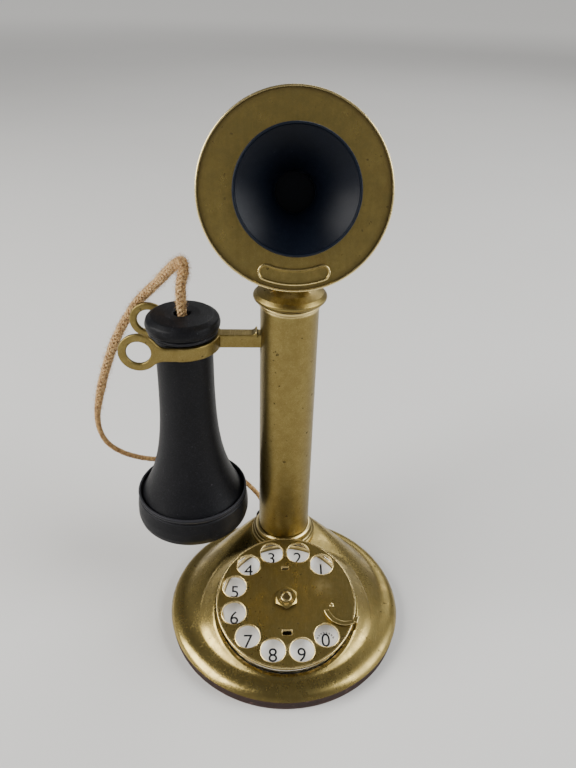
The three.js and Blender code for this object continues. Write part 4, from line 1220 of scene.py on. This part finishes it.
# A rolled rim instanced at each point of the given mesh.
def rimTree(numbers):
    tree, g, given = geometryTree("hole_rims", numbers)
    loop = sectionCircle(g, wheelSet["holeSegments"], given["Ring"])
    roll = sweep(g, loop, sectionCircle(g, 8), given["Roll"])
    sockets = {"Points": given["Geometry"], "Instance": roll}
    placed = g.add("GeometryNodeInstanceOnPoints", None, sockets)
    endTree(g, g.out(placed), "brass_wheel")
    return tree


def makeFingerWheel(look):
    middles = [holeMiddle(k) for k in range(10)]
    outlines = [circle(0, 0, look["radius"], look["segments"])]
    outlines += [circle(x, y, look["holeRadius"], look["holeSegments"]) for x, y in middles]
    outlines += [[(-x, low), (x, low), (x, high), (-x, high)] for x, low, high in look["slots"]]
    outlines.append(circle(0, 0, look["middleHole"], 40))
    wheel = slab("dial_plate", outlines, look["low"], 0.0, look["edge"])
    rims = meshObject("hole_rims", [(x * mm, y * mm, look["rimHeight"] * mm) for x, y in middles], [])
    runTree(rims, rimTree(rimSet), rimSet)
    bead = turned("edge", look["bead"], look["segments"])
    angle, out = math.radians(look["rivetTurn"]), look["rivetOut"]
    rivet = turned("rivet", look["rivet"], 32, shift(out * math.cos(angle), out * math.sin(angle), 0))
    asOne(wheel, [rims, bead, rivet])
    moveMesh(wheel, dialPlace)
    setPiece(wheel, "brass_wheel", "dial_wheel", ["finger_wheel"], sharp=40)


hubSet = {
    "flats": 5.7, "bore": 3.3, "low": 0.3, "high": 2.3, "edge": 0.02, "chamfer": 0.12,
    "dome": [(0, -1), (6.9, -1), (6.9, 1.3), (5.2, 2.31), (0, 2.31)],
    "spindle": [
        (0, -18.6), (1.8, -18.6, 0.2), (1.8, -13.4), (3.0, -13.4, 0.2), (3.0, 2.9, 0.45), (2.1, 3.1, 0.2),
        (1.8, 2.8, 0.1), (0, 2.75),
    ],
}


def makeHub(look):
    corner = look["flats"] / math.cos(math.pi / 6)
    outlines = [circle(0, 0, corner, 6, math.pi / 2), circle(0, 0, look["bore"], 40)]
    nut = slab("hub_hex", outlines, look["low"], look["high"], look["edge"])
    combine(nut, [turned("dome", look["dome"], 64)], "INTERSECT")
    soften(nut, look["chamfer"], 2, 20)
    moveMesh(nut, dialPlace)
    setPiece(nut, "brass_wheel", "dial_wheel", ["hub_nut"])
    shaft = turned("dial_spindle", look["spindle"], 48, dialPlace)
    setPiece(shaft, "brass_wheel", "dial_wheel", ["dial_shaft"])


caseSet = {
    "segments": 160, "holeOut": 19.55, "holeRadius": 1.5,
    "pan": [
        (3.3, -12), (36.2, -12, 0.8), (36.2, -7.9), (37.15, -7.4, 0.5), (37.15, -5.1, 1.0), (36.2, -4.0, 0.4),
        (36.2, -2.5, 0.2), (35.4, -2.5, 0.3), (35.3, -10.6, 0.5), (3.3, -10.6),
    ],
    # Painted reflection and shade: a thin brass sleeve inside the nickel pan gives its inner wall, seen through the
    # finger holes, the gold of the wheel's reflection and the dark of its shade.
    "goldReflectionLiner": [(34.75, -10.4), (35.2, -10.4), (35.2, -2.7, 0.2), (34.9, -2.7, 0.1), (34.75, -3.2)],
    "plate": [(3.3, -7), (34.6, -7, 0.2), (34.6, -6.25), (34.2, -6, 0.3), (3.3, -6, 0.1)],
}


def makeDialCase(look):
    case = turned("dial_pan", look["pan"], look["segments"])
    combine(case, [rod("hole", look["holeRadius"], -14, -9, 24, shift(look["holeOut"], 0, 0))])
    moveMesh(case, dialPlace)
    setPiece(case, "nickel", "base", ["dial_case"])
    # Brass sleeve standing in for the reflection and shade on the pan's inner wall.
    goldReflectionLiner = turned("painted_reflection_liner", look["goldReflectionLiner"], look["segments"], dialPlace)
    setPiece(goldReflectionLiner, "brass_wheel", "base")
    plate = turned("number_disc", look["plate"], look["segments"], dialPlace)
    setPiece(plate, "enamel", "base", ["number_plate"])


digitSet = {
    "order": "1234567890", "size": 10.4, "drop": 0.5, "plateTop": -6.0, "half": 0.02, "resolution": 6,
    "ticks": 8, "tickSpread": 132, "tickDrop": 0.6,
    "tickBars": ((-0.42, -0.16, 4.1, 5.2), (0.05, 0.36, 4.1, 4.9)),  # left, right, low and high of each
}


def makeDigit(digit, look):
    text = bpy.data.curves.new("digit", "FONT")
    text.body = digit
    text.size = look["size"] * mm
    text.extrude = look["half"] * mm
    text.resolution_u = look["resolution"]
    text.align_x = "CENTER"
    text.align_y = "CENTER"
    thing = bpy.data.objects.new("digit", text)
    bpy.context.collection.objects.link(thing)
    return keepResult(thing)


def makeDigits(look):
    half = look["half"]
    height = look["plateTop"] + half
    digits = []
    for k, digit in enumerate(look["order"]):
        x, y = holeMiddle(k)
        digits.append(moveMesh(makeDigit(digit, look), shift(x, y - look["drop"], height)))
    whole = digits[0]
    whole.name = "dial_digits"
    x, y = holeMiddle(len(digits) - 1)
    ticks = []
    for k in range(look["ticks"]):
        lean = math.radians(look["tickSpread"] * (k / (look["ticks"] - 1) - 0.5))
        spin = shift(x, y - look["tickDrop"], height) @ Matrix.Rotation(-lean, 4, "Z")
        for left, right, low, high in look["tickBars"]:
            ticks.append(brick("tick", (left, low, -half), (right, high, half), spin))
    asOne(whole, digits[1:] + ticks)
    moveMesh(whole, dialPlace)
    setPiece(whole, "ink", "base", marks=False)


stopSet = {
    "tip": 21.4, "heel": 40.3, "sag": 5.2, "width": 2.3, "turn": -20, "low": 0.5, "high": 1.7, "edge": 0.3,
    "heelTop": 3.0, "taper": (0.5, 0.2), "footLow": (38.6, -1.4, -7.5), "footTop": (2.2, 2.0), "voxel": 0.16,
}


def makeFingerStop(look):
    tip, heel, sag = look["tip"], look["heel"], look["sag"]
    length = heel - tip
    radius = length * length / (8 * sag) + sag / 2
    half = math.asin(length / 2 / radius)
    x, y = (tip + heel) / 2, radius - sag
    alongX, alongY = look["taper"]
    lower = circle(x, y, radius, 24, -math.pi / 2 - half, 2 * half)
    upper = circle(x + alongX, y + alongY, radius - look["width"], 24, -math.pi / 2 + half, -1.95 * half)
    outline = lower + [(heel + 0.3, look["heelTop"])] + upper
    finger = slab("stop_hook", [outline], look["low"], look["high"], look["edge"])
    foot = soften(brick("foot", look["footLow"], (heel, *look["footTop"])), look["edge"])
    combine(finger, [foot], "UNION")
    melted(finger, look["voxel"], 3)
    moveMesh(finger, dialPlace @ Matrix.Rotation(math.radians(look["turn"]), 4, "Z"))
    setPiece(finger, "brass_wheel", "base", ["finger_stop"], sharp=60)


discSet = {
    "segments": 192,
    "profile": [
        (15.5, -2.2), (41.4, -2.2, 0.3), (42.9, -1.7, 0.5), (42.9, -0.45, 0.4), (42.5, -0.08, 0.3),
        (42.0, -0.1, 0.2), (41.7, -0.42, 0.2), (30, -0.3), (20, -0.25), (15.5, -0.3, 0.2),
    ],
}


def makeFaceplate(look):
    plate = turned("face_disc", look["profile"], look["segments"], facePlace)
    setPiece(plate, "brass_face", "transmitter", ["faceplate"])


plaqueSet = {
    "inner": 32.6, "outer": 40.0, "half": math.radians(20), "middle": -math.pi / 2,
    "levels": [
        (0, -0.3), (0, 0.45), (0.12, 0.72), (0.4, 0.88), (0.72, 0.88), (0.98, 0.7), (1.15, 0.4), (1.4, 0.34),
    ],
}


def plaqueLine(look, inset, height):
    inner, outer, half, top = look["inner"] + inset, look["outer"] - inset, look["half"], look["middle"]
    middle, end = (inner + outer) / 2, (outer - inner) / 2

    def cap(angle, start):
        return circle(middle * math.cos(angle), middle * math.sin(angle), end, 12, start, math.pi)[1:-1]

    line = circle(0, 0, outer, 36, top - half, 2 * half) + cap(top + half, top + half)
    line += circle(0, 0, inner, 36, top + half, -2 * half) + cap(top - half, top - half + math.pi)
    return [(x * mm, y * mm, height * mm) for x, y in line]


def splitLarge(work):
    bmesh.ops.triangulate(work, faces=[face for face in work.faces if len(face.verts) > 4])


def makePlaque(look):
    loops = [plaqueLine(look, inset, height) for inset, height in look["levels"]]
    count = len(loops[0])
    last = (len(loops) - 1) * count
    faces = []
    for low in range(0, last, count):
        for i in range(count):
            j = (i + 1) % count
            faces.append((low + i, low + j, low + count + j, low + count + i))
    faces += [tuple(range(count)), tuple(range(last, last + count))]
    plaque = faceOutwards(meshObject("plaque", [p for loop in loops for p in loop], faces))
    editMesh(plaque, splitLarge)
    moveMesh(plaque, facePlace)
    setPiece(plaque, "brass_face", "transmitter", ["face_plaque"])


mouthSet = {
    "throat": 8.9, "lip": 24.9, "depth": 18.5, "wall": 2.0, "thinning": 0.4, "flare": 1.35, "steps": 16,
    "segments": 160, "footLow": -6.2, "footOut": 2, "footIn": 0.15,
    "rim": [(25.2, -0.9, 0.3), (25.5, -0.1, 0.35), (26.2, 0, 0.4), (26.5, -1.0, 0.4), (26.4, -2.6, 0.5)],
    "collar": [(11.2, -5.6), (15.2, -5.6, 0.3), (15.2, -1.4, 0.4), (11.2, -1.4, 0.2)],
}


def makeMouthpiece(look):
    throat, depth, low = look["throat"], look["depth"], look["footLow"]
    inside, outside = [], []
    for i in range(look["steps"]):
        share = i / look["steps"]
        radius = throat + (look["lip"] - throat) * share ** look["flare"]
        inside.append((radius, depth * share - 1))
        outside.append((radius + look["wall"] - look["thinning"] * share, depth * share - 1.6))
    bore = throat - look["footIn"]
    foot = [(throat + look["footOut"], low, 0.2), (bore, low, 0.2), (bore, -1.6, 0.3)]
    profile = inside + raised(look["rim"], depth) + outside[::-1] + foot
    mouth = turned("mouth_horn", profile, look["segments"], facePlace)
    setPiece(mouth, "rubber_mouth", "transmitter", ["mouthpiece"], sharp=40)
    collar = turned("horn_ring", look["collar"], 96, facePlace)
    setPiece(collar, "brass_small", "transmitter", ["mouthpiece_collar"])


cupSet = {
    "front": -2.5, "back": -33.5, "inner": 27.4, "segments": 144, "steps": 8, "shoulder": 7,
    "outside": [(22, 0, 4.0), (29, 7, 6.0)],
    "bead": [(29, -3.2, 0.3), (28.6, -2.9, 0.2), (29, -2.6, 0.2), (29, 0, 0.2)],
    "inside": [(27.4, 7, 5.0), (22, 1.6, 3.0), (0, 1.6)],
    "lugHalf": 4.7, "lugReach": 5, "lugTop": -25, "lugEdge": 0.4, "pivotBore": 2.4,
    "screwX": 12, "screwHole": 1.8, "screwGap": 0.3, "slotHalf": 0.35, "slotReach": 4, "slotZ": (-2.2, -1.1),
    "screw": [(0, -1.7), (2.2, -1.7, 0.4), (3, -0.8, 0.5), (3, 0, 0.1), (1.5, 0), (1.5, 8, 0.2), (0, 8)],
}


def makeLug(look, pivot):
    half, reach = look["lugHalf"], look["lugReach"]
    lug = brick("lug", (-half, pivot.y, pivot.z - reach), (half, look["lugTop"], pivot.z + reach))
    place = shift(0, pivot.y, pivot.z) @ quarterY
    combine(lug, [rod("round", reach, -half, half, 48, place)], "UNION")
    soften(lug, look["lugEdge"])
    low, high = look["back"] + look["shoulder"], look["front"] - 1
    return combine(lug, [rod("hollow", look["inner"], low, high, 96)])


def makeCup(look):
    front, back, side = look["front"], look["back"], look["screwX"]
    profile = [(0, back), *raised(look["outside"], back), *raised(look["bead"], front), (look["inner"], front)]
    profile += raised(look["inside"], back)
    cup = turned("back_cup", profile, look["segments"], None, look["steps"])
    pivot = facePlace.inverted() @ pivotPoint / mm
    combine(cup, [makeLug(look, pivot)], "UNION")
    cutters = [rod("bore", look["pivotBore"], -20, 20, 32, shift(0, pivot.y, pivot.z) @ quarterY)]
    for x in (-side, side):
        cutters.append(rod("hole", look["screwHole"], back - 3, back + 3, 24, shift(x, 0, 0)))
    combine(cup, cutters)
    moveMesh(cup, facePlace)
    setPiece(cup, "brass_face", "transmitter", ["transmitter_cup"], sharp=40)
    head = back - look["screwGap"]
    half, reach, (low, high) = look["slotHalf"], look["slotReach"], look["slotZ"]
    for number, x in ((1, -side), (2, side)):
        screw = turned(f"back_screw_{number}", raised(look["screw"], head), 40, shift(x, 0, 0))
        combine(screw, [brick("slot", (x - half, -reach, head + low), (x + half, reach, head + high))])
        moveMesh(screw, facePlace)
        setPiece(screw, "brass_small", "transmitter", [f"cup_screw_{number}"])


receiverSet = {
    "neck": 14.7, "flare": 14.6, "bend": 4.3, "foot": 59.6, "flangeTop": 61.8, "flangeRadius": 30.3,
    "top": 166.6, "wall": 3.0, "rings": 36, "crowding": 1.3, "segments": 128,
    "capLow": 164.6, "capSteps": 7,
    "cap": [
        (15, 0), (16.7, 0, 0.3), (17.7, 0.7, 0.6), (17.7, 1.7, 0.6), (16.9, 2.4, 0.4), (17.4, 2.9, 0.3),
        (18.6, 3.4, 0.9), (19.0, 5.6, 1.6), (18.3, 8.2, 2.0), (15.6, 10.0, 2.0), (9, 10.55, 2),
        (4.3, 10.5, 0.7), (4.3, 4.8), (15, 4.8),
    ],
    "earLow": 45.6, "earSteps": 6, "earSegments": 144,
    "ear": [
        (5, 2.6, 0.8), (20, 1.7, 3), (28.4, 0, 2.2), (31.2, 1.0, 2.0), (32.0, 4.5, 2.0), (31.9, 9),
        (31.1, 15.4, 0.8), (30.5, 16.2, 0.4), (30.9, 16.9, 0.3), (31.2, 17.7, 0.6), (30.9, 18.7, 0.6),
        (30.2, 19.0, 0.4), (29.6, 18.6, 0.3), (29.6, 16.5), (30.6, 16.5), (30.6, 11.8), (26.6, 11.8), (26.6, 5),
        (5, 5.6, 0.5),
    ],
}


def receiverPiece(name, profile, segments, node, steps=4):
    thing = turned(name, profile, segments, receiverPlace, steps)
    setPiece(thing, "rubber_receiver", "receiver", [node])


def makeReceiver(look):
    foot, flange, wall = look["foot"], look["flangeTop"], look["wall"]
    neck = []
    for i in range(look["rings"] + 1):
        share = (i / look["rings"]) ** look["crowding"]
        radius = look["neck"] + look["flare"] * (1 - share) ** look["bend"]
        neck.append((radius, flange + (look["top"] - flange) * share))
    inside = [(radius - wall, z) for radius, z in neck[::3]][::-1]
    outline = [(look["flangeRadius"], foot, 0.2), (look["flangeRadius"], flange, 0.2)]
    outline += neck + inside + [(neck[0][0] - wall, foot)]
    receiverPiece("receiver_horn", outline, look["segments"], "receiver_body")
    cap = raised(look["cap"], look["capLow"])
    receiverPiece("receiver_top", cap, look["segments"], "receiver_cap", look["capSteps"])
    ear = raised(look["ear"], look["earLow"])
    receiverPiece("ear_piece", ear, look["earSegments"], "ear_cap", look["earSteps"])


# Hidden nodes keep their shapes and take these finishes.
slotFinish = {
    "aged_brass": "brass_stem", "bright_brass": "brass_small", "nickel": "nickel", "steel": "steel",
    "hard_rubber": "rubber_receiver", "leather_board": "leather_board", "enamel": "enamel",
    "copper": "copper", "braid": "braid",
}
# Painted shade: the diaphragm and carbon button at the back of the mouthpiece's throat take the near-black rubber
# finish so the throat reads as shade.
throatShadeNodes = {"transmitter_diaphragm": "rubber_mouth", "carbon_button": "rubber_mouth"}


def finishNodes():
    for part in frame["record"]["subparts"]:
        node = frame["nodes"][part["node"]]
        finish = throatShadeNodes.get(part["node"], slotFinish[part["material_slot"]])
        node.data.materials.clear()
        node.data.materials.append(finishes[finish])


lightSet = {
    "left": {"place": (-1.4, -0.3, 1.0), "size": (1.3, 1.3), "power": 44.0, "tint": (1.0, 0.985, 0.96)},
    "right": {"place": (1.4, -0.25, 0.95), "size": (1.2, 1.2), "power": 34.0, "tint": (0.97, 0.985, 1.0)},
    "back": {"place": (0.8, 1.8, 1.6), "size": (1.6, 1.0), "power": 16.0, "tint": (1.0, 1.0, 1.0)},
}
lightAim = Vector((0, 0, 0.1))
floorReach = 15
skySet = {
    "low": colour(0.40, 0.395, 0.39), "high": colour(0.16, 0.16, 0.165), "from": 0.1, "to": 0.8,
    "strength": 0.8,
}


def makeLamp(name, look):
    data = bpy.data.lights.new(name, "AREA")
    data.shape = "RECTANGLE"
    data.size, data.size_y = look["size"]
    data.energy = look["power"]
    data.color = look["tint"]
    lamp = bpy.data.objects.new(name, data)
    lamp.location = look["place"]
    lamp.rotation_euler = (lightAim - lamp.location).to_track_quat("-Z", "Y").to_euler()
    bpy.context.collection.objects.link(lamp)


def makeSky(look):
    world = bpy.data.worlds.new("soft_room")
    world.use_nodes = True
    g = Graph(world.node_tree)
    up = g.parts(g.out(g.add("ShaderNodeTexCoord"), "Generated"))[2]
    sky = g.mix(g.step(up, look["from"], look["to"]), look["low"], look["high"])
    shader = g.add("ShaderNodeBackground", None, {"Color": sky, "Strength": look["strength"]})
    g.add("ShaderNodeOutputWorld", None, {"Surface": g.out(shader)})
    bpy.context.scene.world = world


def makeStage(reach):
    corners = [(-reach, -reach, 0), (reach, -reach, 0), (reach, reach, 0), (-reach, reach, 0)]
    floor = meshObject("floor", corners, [(0, 1, 2, 3)])
    floor.data.materials.append(paleFloor("pale_floor"))


makeBaseShell(baseSet)
makeBasePad(padSet)
makeBushings(bushingSet)
print("base ready")
makeStem(stemSet)
makeFootCollar(collarSet)
makeStemCap(capSet)
makeTiltScrew(tiltSet)
print("stem ready")
makeHook(hookSet)
print("hook ready")
makeFingerWheel(wheelSet)
makeHub(hubSet)
makeDialCase(caseSet)
makeDigits(digitSet)
makeFingerStop(stopSet)
print("dial ready")
makeFaceplate(discSet)
makePlaque(plaqueSet)
makeMouthpiece(mouthSet)
makeCup(cupSet)
print("transmitter ready")
makeReceiver(receiverSet)
print("receiver ready")
finishNodes()
makeStage(floorReach)
for lampName, lampSet in lightSet.items():
    makeLamp(lampName, lampSet)
makeSky(skySet)

print("pieces", len(finished), "triangles", sum(len(p.data.loop_triangles) or len(p.data.polygons) for p in finished))
